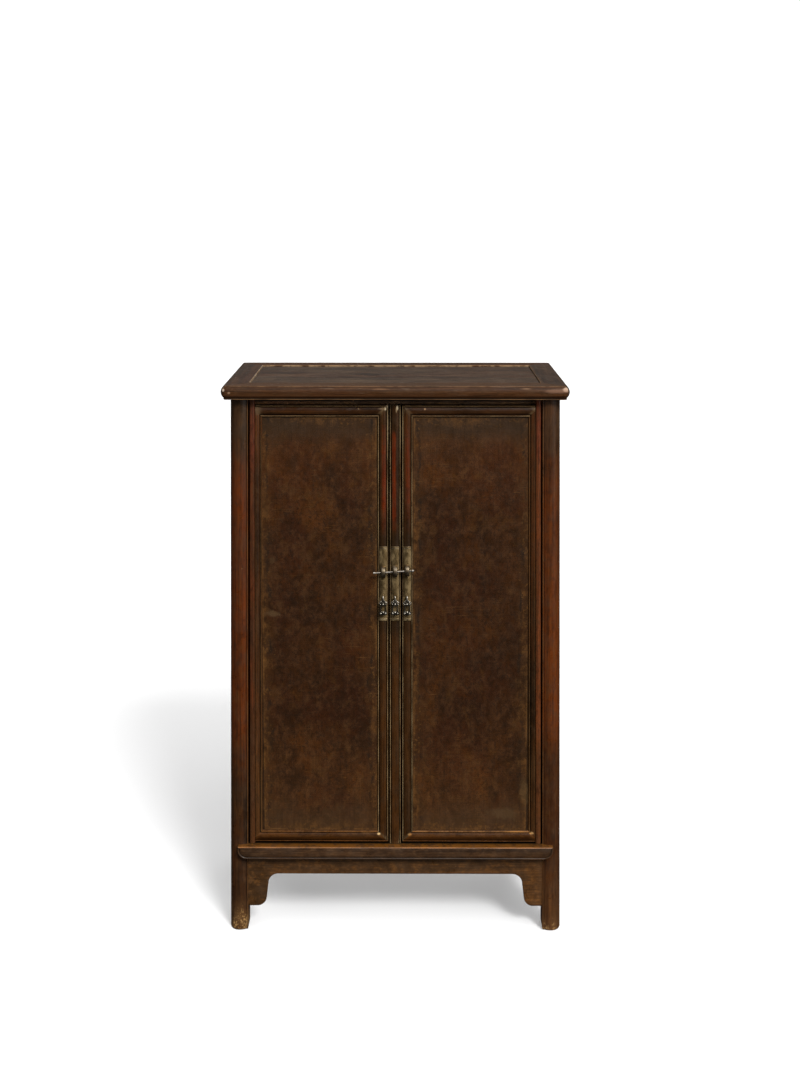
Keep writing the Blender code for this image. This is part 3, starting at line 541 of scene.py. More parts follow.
def old_wood(
    name,
    axis,
    seed,
    base=(60, 36, 20),
    dark=(38, 24, 15),
    warm=(84, 40, 19),
    grey=(70, 54, 42),
    rubbed=(128, 86, 50),
    bands=(),
    streaks=(),
    gilt=(),
    grounds=(),
    shades=(),
    spots=(),
    gaps=0.25,
    grey_amount=0.25,
    warm_amount=0.55,
    rub=1.0,
    rough=0.34,
    specular=0.24,
    flecks=None,
    mottle=0.0,
    ochre=(96, 64, 36),
    patch_size=(88, 34),
    scratches=0.0,
    gain=(1, 1, 1),
):
    """Old lacquered hardwood with grain along an axis.

    bands are (from, full, full, to, colour, amount): a tint between heights. streaks are (middle, half width,
    from, full, full, to, colour, amount): a tint along a line in X. gilt is (label, place, half width,
    colour, amount): a line at a height or depth, partly rubbed and partly a painted highlight, with gaps where it is
    fainter. shades is (label, from, to, colour, amount): painted light and shade that comes in between two
    places and stays beyond the second, over the rubbed arrises, and grounds is the same under them.
    spots are (x, z, half width, half height, colour, amount): rubbed knocks and painted highlights seen from the
    front. flecks is (height, amount, colour): the foot is scuffed below that height. mottle is how much worn and
    dark patches differ, and patch_size how closely they come across and along the grain.
    """
    t = Tree(name)
    off = (seed * 1.37, seed * 2.11, seed * 0.73)
    xyz = t.split()
    figure = t.noise(t.mapping(grain_scale(axis, 46, 1.6), off), 1.0, 5, 0.6, 0.5)
    fibre = t.noise(t.mapping(grain_scale(axis, 560, 7), off), 1.0, 3, 0.6)
    pores = t.noise(t.mapping(grain_scale(axis, 1500, 42), off), 1.0, 1, 0.5)
    blot = t.noise(t.mapping((9, 9, 9), off), 1.0, 5, 0.62, 0.3)
    film = t.noise(t.mapping((34, 34, 34), off), 1.0, 6, 0.68, 0.2)
    fine = t.noise(t.mapping((420, 420, 420), off), 1.0, 2, 0.5)

    colour = t.mix(t.fade(figure, 0.34, 0.62), tone(*dark), tone(*base))
    # red-brown where hands and light have thinned the lacquer
    red = t.fade(t.noise(t.mapping(grain_scale(axis, 26, 2.4), off), 1.0, 4, 0.6), 0.42, 0.62)
    colour = t.mix(t.math("MULTIPLY", red, warm_amount), colour, tone(*warm))
    height = t.math("ADD", xyz["Z"], t.math("MULTIPLY", t.math("SUBTRACT", blot, 0.5), 0.22))
    for low, full, still, high, tint, amount in bands:
        mask = t.math("MULTIPLY", t.fade(height, low, full), t.fade(height, still, high, 1.0, 0.0))
        mask = t.math("MULTIPLY", mask, t.fade(figure, 0.30, 0.58, 0.45, 1.0))
        colour = t.mix(t.math("MULTIPLY", mask, amount), colour, tone(*tint))
    for middle, wide, low, full, still, high, tint, amount in streaks:
        wander = t.math("MULTIPLY", t.math("SUBTRACT", figure, 0.5), wide * 1.2)
        away = t.math("ABSOLUTE", t.math("ADD", t.math("SUBTRACT", xyz["X"], middle), wander))
        mask = t.math("MULTIPLY", t.fade(height, low, full), t.fade(height, still, high, 1.0, 0.0))
        mask = t.math("MULTIPLY", mask, t.fade(away, wide * 0.35, wide, 1.0, 0.0))
        colour = t.mix(t.math("MULTIPLY", mask, amount), colour, tone(*tint))
    def come_in(label, start, full):
        way = 1.0 if full > start else -1.0
        return t.fade(t.math("MULTIPLY", xyz[label], way), way * start, way * full)

    # painted light and shade laid under the patches and rubbed arrises
    for label, start, full, tint, amount in grounds:
        colour = t.mix(t.math("MULTIPLY", come_in(label, start, full), amount), colour, tone(*tint))
    # worn and dark patches
    if mottle:
        patches = t.noise(t.mapping(grain_scale(axis, *patch_size), (off[1], off[2], off[0])), 1.0, 6, 0.72, 0.3)
        colour = t.mix(t.fade(patches, 0.50, 0.63, 0.0, mottle), colour, tone(*ochre))
        colour = t.mix(t.fade(patches, 0.37, 0.50, mottle, 0.0), colour, tone(*dark, k=TONE * 0.75))
        grit = t.noise(t.mapping(grain_scale(axis, 360, 150), off), 1.0, 3, 0.6)
        colour = t.mix(t.fade(grit, 0.54, 0.68, 0.0, 0.5 * mottle), colour, tone(*dark, k=TONE * 0.7))
        colour = t.mix(t.fade(grit, 0.32, 0.46, 0.45 * mottle, 0.0), colour, tone(*grey, k=TONE * 1.3))
    # dusty film
    colour = t.mix(t.fade(film, 0.42, 0.66, 0.0, grey_amount), colour, tone(*grey))
    # fibres and pores
    colour = t.mix(t.fade(fibre, 0.36, 0.70, 0.0, 0.55), colour, tone(*dark, k=TONE * 0.6))
    colour = t.mix(t.fade(pores, 0.60, 0.72, 0.0, 0.5), colour, tone(24, 14, 9))
    patchy = t.noise(t.mapping(grain_scale(axis, 60, 16), off), 1.0, 5, 0.7)
    # rubbed lines, partly painted highlights along arrises and beads
    for label, at, wide, tint, amount in gilt:
        away = t.math("ABSOLUTE", t.math("SUBTRACT", xyz[label], at))
        broken = t.noise(t.mapping((70, 70, 70), (off[1], off[0], off[2])), 1.0, 4, 0.7)
        mask = t.math("MULTIPLY", t.fade(away, wide * 0.4, wide, 1.0, 0.0), t.fade(broken, 0.38, 0.58, gaps, 1.0))
        colour = t.mix(t.math("MULTIPLY", mask, amount), colour, tone(*tint))
    # painted light and shade laid over the patterns
    for label, start, full, tint, amount in shades:
        colour = t.mix(t.math("MULTIPLY", come_in(label, start, full), amount), colour, tone(*tint))
    # rubbed arrises, and painted highlights along the beads
    wear, dirt = t.attribute("wear"), t.attribute("dirt")
    rubbing = t.math("MULTIPLY", t.fade(wear, 0.25, 0.95), t.fade(patchy, 0.38, 0.60, 0.30, 1.0))
    colour = t.mix(t.math("MULTIPLY", rubbing, rub * 0.70, True), colour, tone(*rubbed))
    # soot and wax in the hollows, and painted shade in the grooves and recesses
    colour = t.mix(t.math("MULTIPLY", dirt, 0.92), colour, tone(12, 8, 5))
    # small knocks
    knock = t.voronoi(t.mapping((60, 60, 60), off), 1.0)
    some = t.fade(t.noise(t.mapping((24, 24, 24), off), 1.0, 2), 0.60, 0.66)
    chip = t.math("MULTIPLY", t.fade(knock, 0.05, 0.12, 1.0, 0.0), some)
    colour = t.mix(t.math("MULTIPLY", chip, 0.55), colour, tone(*rubbed))
    # rubbed knocks and painted highlights at corners, mitres and along beads
    for x, z, wide, tall, tint, amount in spots:
        over = t.math("DIVIDE", t.math("SUBTRACT", xyz["X"], x), wide)
        along = t.math("DIVIDE", t.math("SUBTRACT", xyz["Z"], z), tall)
        away = t.math("SQRT", t.math("ADD", t.math("MULTIPLY", over, over), t.math("MULTIPLY", along, along)))
        away = t.math("ADD", away, t.math("MULTIPLY", t.math("SUBTRACT", patchy, 0.5), 1.4))
        mask = t.math("MULTIPLY", t.fade(away, 0.25, 1.0, 1.0, 0.0), t.fade(dirt, 0.2, 0.8, 1.0, 0.3))
        colour = t.mix(t.math("MULTIPLY", mask, amount), colour, tone(*tint))
    if scratches:
        line = t.noise(t.mapping(grain_scale(axis, 700, 5), (off[2], off[0], off[1])), 1.0, 2, 0.5)
        where = t.fade(t.noise(t.mapping((16, 16, 16), off), 1.0, 3), 0.50, 0.60)
        line = t.math("MULTIPLY", t.fade(line, 0.66, 0.72), where)
        colour = t.mix(t.math("MULTIPLY", line, scratches), colour, tone(190, 182, 176))
    if flecks:
        reach, amount, tint = flecks
        scatter = t.noise(t.mapping((330, 330, 210), off), 1.0, 4, 0.7)
        cluster = t.noise(t.mapping((60, 60, 40), off), 1.0, 3, 0.6)
        foot = t.fade(xyz["Z"], 0.004, reach, 1.0, 0.0)
        foot = t.math("MULTIPLY", foot, t.fade(cluster, 0.36, 0.60, 0.35, 1.0))
        bare = t.fade(t.math("ADD", scatter, t.math("MULTIPLY", foot, 0.16)), 0.64, 0.72)
        bare = t.math("MULTIPLY", bare, foot)
        colour = t.mix(t.math("MULTIPLY", foot, 0.6), colour, tone(*tint))
        colour = t.mix(t.math("MULTIPLY", bare, amount), colour, tone(190, 152, 104))
    gloss = t.fade(film, 0.3, 0.7, rough - 0.08, rough + 0.12)
    gloss = t.math("ADD", gloss, t.math("MULTIPLY", rubbing, -0.06))
    height = t.math("ADD", t.math("MULTIPLY", fibre, 0.6), t.math("MULTIPLY", fine, 0.35))
    height = t.math("SUBTRACT", height, t.fade(pores, 0.60, 0.72, 0.0, 0.5))
    normal = t.bump(height, 0.35, 0.0004)
    normal = t.bump(t.math("SUBTRACT", film, t.math("MULTIPLY", chip, 1.5)), 0.25, 0.0012, normal)
    return t.finish(colour, gloss, normal, specular, gain=gain)


def lacquer_panel(
    name, centre, half, seed, axis="Z", flat=("X", "Z"), rough=0.40, gain=(1, 1, 1), spots=()
):
    """A lacquered panel over cloth: cloudy ochre-brown, woven marks, a dusty grey top and foot, grimy edges with
    painted shade along them.

    centre and half are in metres, across and up. spots are (x, z, half width, half height, colour, amount): a
    rubbed patch seen from the front.
    """
    t = Tree(name)
    off = (seed * 2.3, seed * 1.1, seed * 3.7)
    turn = (off[2], off[0], off[1])
    xyz = t.split()
    cloud = t.noise(t.mapping((10, 10, 7), off), 1.0, 6, 0.66, 0.3)
    warm = t.noise(t.mapping((13, 13, 9), turn), 1.0, 6, 0.66, 0.3)
    stain = t.noise(t.mapping((17, 17, 14), (off[1], off[2], off[0])), 1.0, 6, 0.70, 0.2)
    cells = t.noise(t.mapping((60, 60, 46), off), 1.0, 5, 0.70, 0.3)
    speck = t.noise(t.mapping((170, 170, 140), off), 1.0, 4, 0.68, 0.2)
    fine = t.noise(t.mapping((700, 700, 700), off), 1.0, 2, 0.5)
    warp = t.noise(t.mapping(grain_scale("Z", 520, 16), off), 1.0, 3, 0.6)
    weft = t.noise(t.mapping(grain_scale(flat[0], 520, 16), off), 1.0, 3, 0.6)

    colour = t.mix(t.fade(cloud, 0.36, 0.64), tone(46, 27, 13), tone(66, 39, 17))
    colour = t.mix(t.fade(warm, 0.44, 0.68, 0.0, 0.70), colour, tone(88, 51, 19))
    ruddy = t.noise(t.mapping((8, 8, 6), (off[1], off[0], off[2])), 1.0, 5, 0.62, 0.3)
    colour = t.mix(t.fade(ruddy, 0.46, 0.62, 0.0, 0.55), colour, tone(62, 31, 15))
    colour = t.mix(t.fade(stain, 0.52, 0.72, 0.0, 0.75), colour, tone(36, 24, 13))
    colour = t.mix(t.fade(cells, 0.46, 0.70, 0.0, 0.70), colour, tone(84, 52, 22))
    colour = t.mix(t.fade(speck, 0.48, 0.66, 0.0, 0.66), colour, tone(32, 19, 9))
    # pale and dark smudges
    smudge = t.noise(t.mapping((27, 27, 20), (off[2], off[1], off[0])), 1.0, 6, 0.72, 0.4)
    colour = t.mix(t.fade(smudge, 0.51, 0.65, 0.0, 0.46), colour, tone(90, 61, 32))
    colour = t.mix(t.fade(smudge, 0.36, 0.48, 0.40, 0.0), colour, tone(31, 20, 10))
    # distances from the panel's edges
    sides, ends = (
        t.math("SUBTRACT", h, t.math("ABSOLUTE", t.math("SUBTRACT", xyz[label], c)))
        for label, c, h in zip(flat, centre, half)
    )
    edge = t.math("MINIMUM", sides, ends)
    deep = t.math("ADD", ends, t.math("MULTIPLY", t.math("SUBTRACT", ruddy, 0.5), 0.24))
    colour = t.mix(t.fade(deep, 0.05, 0.30, 0.0, 0.33), colour, tone(24, 13, 6))
    rag = t.math("MULTIPLY", t.math("SUBTRACT", stain, 0.5), 0.16)
    rag = t.math("ADD", rag, t.math("MULTIPLY", t.math("SUBTRACT", cells, 0.5), 0.06))
    dusty = t.fade(t.math("ADD", ends, rag), 0.010, 0.085, 1.0, 0.0)
    narrow = t.fade(t.math("ADD", sides, t.math("MULTIPLY", rag, 0.5)), 0.0, 0.024, 0.42, 0.0)
    dusty = t.math("MULTIPLY", t.math("MAXIMUM", dusty, narrow), t.fade(weft, 0.3, 0.7, 0.55, 1.0))
    colour = t.mix(t.math("MULTIPLY", dusty, 0.60), colour, tone(70, 54, 36))
    # greyer towards the foot, warmer towards the head
    level = t.math("ADD", xyz["Z"], t.math("MULTIPLY", t.math("SUBTRACT", stain, 0.5), 0.3))
    colour = t.mix(t.fade(level, 0.24, 0.46, 0.27, 0.0), colour, tone(62, 43, 27))
    colour = t.mix(t.fade(level, 0.90, 1.04, 0.0, 0.20), colour, tone(80, 46, 18))
    head = t.math("ADD", t.math("SUBTRACT", xyz["Z"], centre[1] + half[1]), t.math("MULTIPLY", rag, 0.22))
    colour = t.mix(t.fade(head, -0.060, -0.022, 0.0, 0.62), colour, tone(46, 36, 26))
    # a grimy line beside the stiles
    wander = t.math("MULTIPLY", t.math("SUBTRACT", warm, 0.5), 0.05)
    away = t.math("ABSOLUTE", t.math("SUBTRACT", t.math("ADD", sides, wander), 0.013))
    grime = t.math("MULTIPLY", t.fade(away, 0.001, 0.006, 1.0, 0.0), t.fade(cells, 0.42, 0.60))
    colour = t.mix(t.math("MULTIPLY", grime, 0.75), colour, tone(26, 18, 10))
    # golden scuffs near the edges, and a few further in
    near = t.fade(edge, 0.002, 0.034, 1.0, 0.0)
    scuff = t.fade(t.math("ADD", speck, t.math("MULTIPLY", near, 0.10)), 0.62, 0.72)
    scuff = t.math("MULTIPLY", scuff, t.fade(cloud, 0.40, 0.58, 0.25, 1.0))
    colour = t.mix(t.math("MULTIPLY", scuff, t.fade(edge, 0.0, 0.05, 0.42, 0.12)), colour, tone(122, 84, 42))
    patch = t.fade(t.math("ADD", stain, t.math("MULTIPLY", near, 0.10)), 0.52, 0.66)
    patch = t.math("MULTIPLY", patch, t.fade(cells, 0.40, 0.64))
    colour = t.mix(t.math("MULTIPLY", patch, t.math("MULTIPLY", near, 0.55)), colour, tone(104, 70, 32))
    line = t.math("MULTIPLY", t.fade(edge, 0.0006, 0.005, 1.0, 0.0), t.fade(warm, 0.44, 0.60))
    colour = t.mix(t.math("MULTIPLY", line, 0.6), colour, tone(112, 80, 44))
    # painted shade along the panel's edge, beside the frame
    colour = t.mix(t.fade(edge, 0.0, 0.0012, 0.7, 0.0), colour, tone(16, 10, 6))
    # cloth under the lacquer
    threads = t.math("ADD", t.fade(warp, 0.42, 0.72, 0.0, 0.26), t.fade(weft, 0.42, 0.72, 0.0, 0.26))
    colour = t.mix(threads, colour, tone(32, 20, 11))
    hair = t.math("MULTIPLY", t.fade(weft, 0.62, 0.70), t.fade(warm, 0.46, 0.60))
    colour = t.mix(t.math("MULTIPLY", hair, 0.35), colour, tone(112, 80, 44))
    for x, z, wide, tall, tint, amount in spots:
        over = t.math("DIVIDE", t.math("SUBTRACT", xyz["X"], x), wide)
        along = t.math("DIVIDE", t.math("SUBTRACT", xyz["Z"], z), tall)
        far = t.math("SQRT", t.math("ADD", t.math("MULTIPLY", over, over), t.math("MULTIPLY", along, along)))
        far = t.math("ADD", far, t.math("MULTIPLY", t.math("SUBTRACT", smudge, 0.5), 3.0))
        colour = t.mix(t.fade(far, 0.3, 1.0, amount, 0.0), colour, tone(*tint))
    gloss = t.fade(cells, 0.3, 0.7, rough - 0.08, rough + 0.12)
    gloss = t.math("ADD", gloss, t.math("MULTIPLY", dusty, 0.06))
    height = t.math("ADD", t.math("MULTIPLY", cells, 0.8), t.math("MULTIPLY", speck, 0.4))
    normal = t.bump(height, 0.35, 0.0012)
    small = t.math("ADD", t.math("MULTIPLY", warp, 0.5), t.math("MULTIPLY", weft, 0.5))
    small = t.math("ADD", small, t.math("MULTIPLY", fine, 0.4))
    normal = t.bump(small, 0.35, 0.0005, normal)
    return t.finish(colour, gloss, normal, 0.20, gain=gain)


def bare_wood(name, axis, seed):
    """Unlacquered softwood inside the cabinet."""
    t = Tree(name)
    off = (seed * 1.9, seed * 0.7, seed * 2.9)
    rings = t.noise(t.mapping(grain_scale(axis, 60, 1.3), off), 1.0, 4, 0.6, 1.2)
    fibre = t.noise(t.mapping(grain_scale(axis, 700, 10), off), 1.0, 3, 0.6)
    blot = t.noise(t.mapping((8, 8, 8), off), 1.0, 5, 0.6)
    colour = t.mix(t.fade(rings, 0.3, 0.7), tone(96, 66, 40, 1.0), tone(132, 94, 58, 1.0))
    colour = t.mix(t.fade(blot, 0.4, 0.7, 0.0, 0.5), colour, tone(80, 56, 36, 1.0))
    colour = t.mix(t.fade(fibre, 0.4, 0.75, 0.0, 0.4), colour, tone(70, 46, 28, 1.0))
    normal = t.bump(fibre, 0.4, 0.0005)
    return t.finish(colour, t.fade(blot, 0.3, 0.7, 0.6, 0.75), normal, 0.25)


def old_brass(name, seed, ground, lighter, shine, bright=0.5, dull=0.5, satin=0.42):
    """Aged yellow-grey metal, dull in the hollows and bright where it is touched, with painted highlights on tops
    and edges and painted shade in the hollows. Colours are linear.
    """
    t = Tree(name)
    off = (seed * 1.3, seed * 2.7, seed * 0.9)
    cloud = t.noise(t.mapping((90, 90, 50), off), 1.0, 5, 0.62, 0.4)
    streak = t.noise(t.mapping((480, 480, 40), off), 1.0, 4, 0.6)
    speck = t.noise(t.mapping((900, 900, 900), off), 1.0, 3, 0.6)
    wear, dirt = t.attribute("wear"), t.attribute("dirt")
    colour = t.mix(t.fade(cloud, 0.34, 0.64), (*ground, 1), (*lighter, 1))
    colour = t.mix(t.fade(streak, 0.48, 0.72, 0.0, 0.45), colour, (*(c * 0.55 for c in ground), 1))
    tarnish = t.fade(t.math("ADD", cloud, t.math("MULTIPLY", speck, 0.35)), 0.60, 0.86)
    colour = t.mix(t.math("MULTIPLY", tarnish, dull), colour, (*(c * 0.3 for c in ground), 1))
    # rubbed metal and painted highlights
    colour = t.mix(t.math("MULTIPLY", wear, bright, True), colour, (*shine, 1))
    # grime and painted shade in the hollows
    colour = t.mix(t.math("MULTIPLY", dirt, 0.9, True), colour, (0.012, 0.009, 0.006, 1))
    rough = t.fade(cloud, 0.3, 0.7, satin - 0.08, satin + 0.08)
    rough = t.math("ADD", rough, t.math("MULTIPLY", wear, -0.08))
    height = t.math("ADD", t.math("MULTIPLY", speck, 0.5), t.math("MULTIPLY", streak, 0.5))
    normal = t.bump(height, 0.25, 0.0003)
    metal = t.fade(t.math("ADD", tarnish, dirt), 0.2, 1.4, 0.95, 0.5)
    return t.finish(colour, rough, normal, 0.5, metal)


PLATE_BRASS = ((0.240, 0.154, 0.064), (0.450, 0.312, 0.146), (0.66, 0.55, 0.38))
EYE_BRASS = ((0.078, 0.056, 0.033), (0.160, 0.120, 0.074), (0.50, 0.42, 0.31))
PULL_BRASS = ((0.034, 0.028, 0.020), (0.080, 0.069, 0.052), (0.66, 0.60, 0.50))
DARK_BRASS = ((0.075, 0.064, 0.048), (0.150, 0.132, 0.104), (0.60, 0.54, 0.45))
PIN_BRASS = ((0.120, 0.106, 0.086), (0.225, 0.202, 0.168), (0.54, 0.48, 0.41))


# ---------------------------------------------------------------- mouldings
def swell(w, middle, half, top=4.1, drop=1.9):
    return top - drop * ((w - middle) / half) ** 2


def swell_points(middle, half, count):
    ws = [middle - half + 2 * half * i / (count - 1) for i in range(count)]
    return [(w, swell(w, middle, half)) for w in ws]


def edge_bead(at, towards):
    pairs = [(0.0, -2.4), (0.6, -0.4), (0.95, 1.1), (1.35, 2.0), (1.9, 2.4), (2.45, 2.0), (2.8, 1.0)]
    pairs += [(3.2, 0.1), (3.8, -0.2), (4.3, 0.5)]
    return [(at + towards * w, t) for w, t in pairs]


def rail_face(width):
    middle, half = (width - 2.0) / 2 + 0.1, (width - 2.0) / 2 - 4.6
    face = edge_bead(0.0, 1) + swell_points(middle, half, 7)
    inner = [
        (5.4, 0.9),
        (4.8, 0.1),
        (4.2, 0.0),
        (3.7, 0.8),
        (3.3, 1.8),
        (2.6, 2.4),
        (1.9, 2.0),
        (1.4, 1.0),
        (0.9, -0.2),
        (0.0, -1.0),
    ]
    return face + [(width - w, t) for w, t in inner]


def with_groove(face, width, back_from=0.0):
    low, high = PANEL_FACE - PANEL_T - 0.3, PANEL_FACE + 0.3
    return face + [
        (width, high),
        (width - GROOVE_DEEP, high),
        (width - GROOVE_DEEP, low),
        (width, low),
        (width, -DOOR_BACK),
        (back_from, -DOOR_BACK),
    ]


# ---------------------------------------------------------------- top
def top_outline():
    w, t = TOP_MEMBER_W / MM, TOP_T / MM
    nose = [
        (6.9, 0.0),
        (5.9, 0.4),
        (5.4, 1.3),
        (5.7, 2.3),
        (6.6, 3.0),
        (5.6, 4.0),
        (4.0, 5.6),
        (2.2, 8.0),
        (0.7, 11.6),
        (0.0, 15.4),
        (0.5, 19.4),
        (1.9, 23.2),
        (4.0, 26.2),
        (5.0, 26.9),
        (5.4, 28.0),
        (6.6, t),
    ]
    return nose + [
        (w, t),
        (w, 19.8),
        (w - GROOVE_DEEP, 19.8),
        (w - GROOVE_DEEP, 14.2),
        (w, 14.2),
        (w, 0.0),
    ]


CORNER_R = 0.013


def round_corners(shape):
    """Rounds the top's corners in plan."""
    moved = []
    for x, y, z in shape.points:
        dx, dy = abs(x) - (TOP_W / 2 - CORNER_R), abs(y) - (TOP_D / 2 - CORNER_R)
        if dx > 0 and dy > 0:
            k = max(dx, dy) / math.hypot(dx, dy)
            x = math.copysign(TOP_W / 2 - CORNER_R + dx * k, x)
            y = math.copysign(TOP_D / 2 - CORNER_R + dy * k, y)
        moved.append((x, y, z))
    shape.points = moved
    return shape


TOP_LOOK = dict(
    base=(76, 56, 40),
    dark=(46, 34, 25),
    warm=(92, 56, 32),
    grey=(88, 72, 58),
    rubbed=(164, 130, 96),
    rough=0.42,
    specular=0.22,
    scratches=0.35,
    gaps=0.02,
    mottle=0.42,
    ochre=(104, 76, 54),
    patch_size=(150, 9),
    gain=(0.86, 0.73, 0.56),
)
# painted highlights at the nose's corners and along it
NOSE_SPOTS = [
    (0.3515, 1.1780, 0.0090, 0.0052, (232, 214, 208), 0.85),
    (0.3360, 1.1755, 0.0340, 0.0060, (150, 120, 108), 0.55),
    (-0.3540, 1.1770, 0.0042, 0.0040, (232, 222, 220), 0.85),
    (-0.3415, 1.1710, 0.0040, 0.0032, (176, 150, 132), 0.7),
    (0.2700, 1.1800, 0.0180, 0.0022, (160, 132, 114), 0.5),
    (-0.0300, 1.1790, 0.0260, 0.0020, (150, 116, 90), 0.4),
]
for sy, side in ((-1, "front"), (1, "back")):
    half = TOP_W / 2
    ends = [k * MM / (2 * half) for k in (0.8, 1.8, 3, 4.5, 6.5, 9, 12, 16)]
    shape = run(
        top_outline(),
        lambda a, b: -(half - a * MM - 0.0001),
        lambda a, b: half - a * MM - 0.0001,
        lambda a, b, c, sy=sy: (c, sy * (TOP_D / 2 - a * MM), UNDER + b * MM),
        stations(48, ends),
        step=1.4,
        window=1.5,
    )
    inner = sy * (TOP_D / 2 - TOP_MEMBER_W)
    look = dict(TOP_LOOK, warm_amount=0.7, mottle=0.62)
    # a worn line with a painted highlight along the nose's arris
    nose = ("Y", sy * (TOP_D / 2 - 0.0058), 0.0010, (136, 108, 84), 0.45)
    # painted light and shade under the rubbed arrises: a warmer nose, painted light on the nose's lower half,
    # painted shade on its upper half
    look["grounds"] = [
        ("Y", sy * 0.1946, sy * 0.1962, (82, 52, 26), 0.60),
        ("Z", UNDER + 0.0165, UNDER + 0.0095, (128, 88, 60), 0.66),
        ("Z", UNDER + 0.0165, UNDER + 0.0225, (50, 33, 20), 0.26),
    ]
    # painted shade on the lower nose and on the bead under it
    look["shades"] = [
        ("Z", UNDER + 0.0125, UNDER + 0.0060, (60, 40, 29), 0.45),
        ("Z", UNDER + 0.0036, UNDER + 0.0026, (40, 30, 24), 0.70),
    ]
    # painted light on the front rail's top strip
    if sy < 0:
        look["shades"].append(("Z", UNDER + 0.0276, UNDER + 0.0288, (98, 80, 66), 0.30))
    # a painted highlight on the bead under the nose
    under = ("Z", UNDER + 0.0014, 0.0013, (84, 74, 66), 0.45)
    # the back rail's inner arris gets a worn line with a painted highlight
    look["gilt"] = [nose, under] if sy < 0 else [nose, under, ("Y", inner, 0.0019, (178, 160, 138), 0.75)]
    look.update(specular=0.10, rough=0.48)
    if sy < 0:
        look["spots"] = NOSE_SPOTS
    piece(
        f"fine_top_{side}_rail",
        [uneven(round_corners(shape), 0.00012, 60, 1 + sy)],
        "carcase",
        f"top_{side}_rail",
        old_wood(f"top_{side}_wood", "X", 3 + sy, **look),
    )
for sx, side in ((-1, "left"), (1, "right")):
    half = TOP_D / 2
    ends = [k * MM / (2 * half) for k in (0.8, 1.8, 3, 4.5, 6.5, 9, 12, 16)]
    shape = run(
        top_outline(),
        lambda a, b: -(half - a * MM - 0.0001),
        lambda a, b: half - a * MM - 0.0001,
        lambda a, b, c, sx=sx: (sx * (TOP_W / 2 - a * MM), c, UNDER + b * MM),
        stations(28, ends),
        step=1.4,
        window=1.5,
    )
    piece(
        f"fine_top_{side}_rail",
        [uneven(round_corners(shape), 0.00012, 60, 4 + sx)],
        "carcase",
        f"top_{side}_rail",
        old_wood(
            f"top_{side}_wood",
            "Y",
            7 + sx,
            # a worn line with a painted highlight along the left rail's inner arris
            gilt=[("X", sx * (TOP_W / 2 - TOP_MEMBER_W), 0.0026, (188, 178, 168), 0.8)] if sx < 0 else (),
            **dict(TOP_LOOK, gain=(0.76, 0.68, 0.54)),
        ),
    )

HALF_X, HALF_Y = TOP_W / 2 - TOP_MEMBER_W, TOP_D / 2 - TOP_MEMBER_W


def board_lines(count, half):
    """Grid lines across a board, closer at its edges."""
    inner = list(np.linspace(-half + 0.004, half - 0.004, count))
    return [-half, -half + 0.0006, -half + 0.0016] + inner + [half - 0.0016, half - 0.0006, half]


def top_face(x, y):
    edge = min(HALF_X - GAP - abs(x), HALF_Y - GAP - abs(y))
    wave = noise.noise(Vector((x * 3, y * 22, 1.7))) * 0.00025
    return HEIGHT - TOP_PANEL_DROP + wave - 0.0005 * (1 - smooth(0.0, 0.0016, edge))


shape = slab(
    board_lines(60, HALF_X - GAP),
    board_lines(60, HALF_Y - GAP),
    top_face,
    lambda x, y: UNDER + 0.012,
    lambda u, v, h: (u, v, h),
)
piece(
    "fine_top_panel",
    [shape],
    "carcase",
    "top_panel",
    old_wood(
        "top_panel_wood",
        "X",
        11,
        # worn lines with painted highlights along the panel's back and left edges
        gilt=[
            ("Y", HALF_Y, 0.0027, (166, 144, 114), 0.70),
            ("X", -HALF_X, 0.0014, (176, 164, 152), 0.5),
        ],
        # painted light: darker towards the back, lighter towards the front
        shades=[("Y", 0.02, 0.14, (58, 46, 38), 0.42), ("Y", -0.01, -0.14, (96, 80, 68), 0.30)],
        **dict(
            TOP_LOOK,
            base=(84, 70, 58),
            dark=(44, 34, 26),
            grey=(98, 86, 74),
            scratches=0.9,
            mottle=0.70,
            ochre=(116, 98, 84),
            patch_size=(40, 10),
            gain=(0.76, 0.64, 0.48),
        ),
    ),
)

# ---------------------------------------------------------------- stiles
LEG_OUTLINE = [
    (0.0, 0.0),
    (0.0, 38.8),
    (0.3, 40.0),
    (1.1, 40.6),
    (2.1, 40.2),
    (2.7, 39.4),
    (5.0, 40.9),
    (10.0, 43.0),
    (15.5, 44.0),
    (21.0, 43.8),
    (26.0, 42.2),
    (30.5, 39.0),
    (34.0, 34.4),
    (36.4, 28.6),
    (37.6, 22.0),
    (37.3, 15.6),
    (36.2, 10.0),
    (34.6, 4.6),
    (33.4, 2.9),
    (34.1, 2.1),
    (34.2, 1.0),
    (33.4, 0.0),
]
FOOT_R = 3.2


def rounded_foot(a, b, z):
    """Insets the stile's section near the floor."""
    if z >= FOOT_R * MM:
        return a, b
    drop = FOOT_R - math.sqrt(max(0.0, FOOT_R**2 - (FOOT_R - z / MM) ** 2))
    return 18.5 + (a - 18.5) * (1 - drop / 20), 21.0 + (b - 21.0) * (1 - drop / 23)


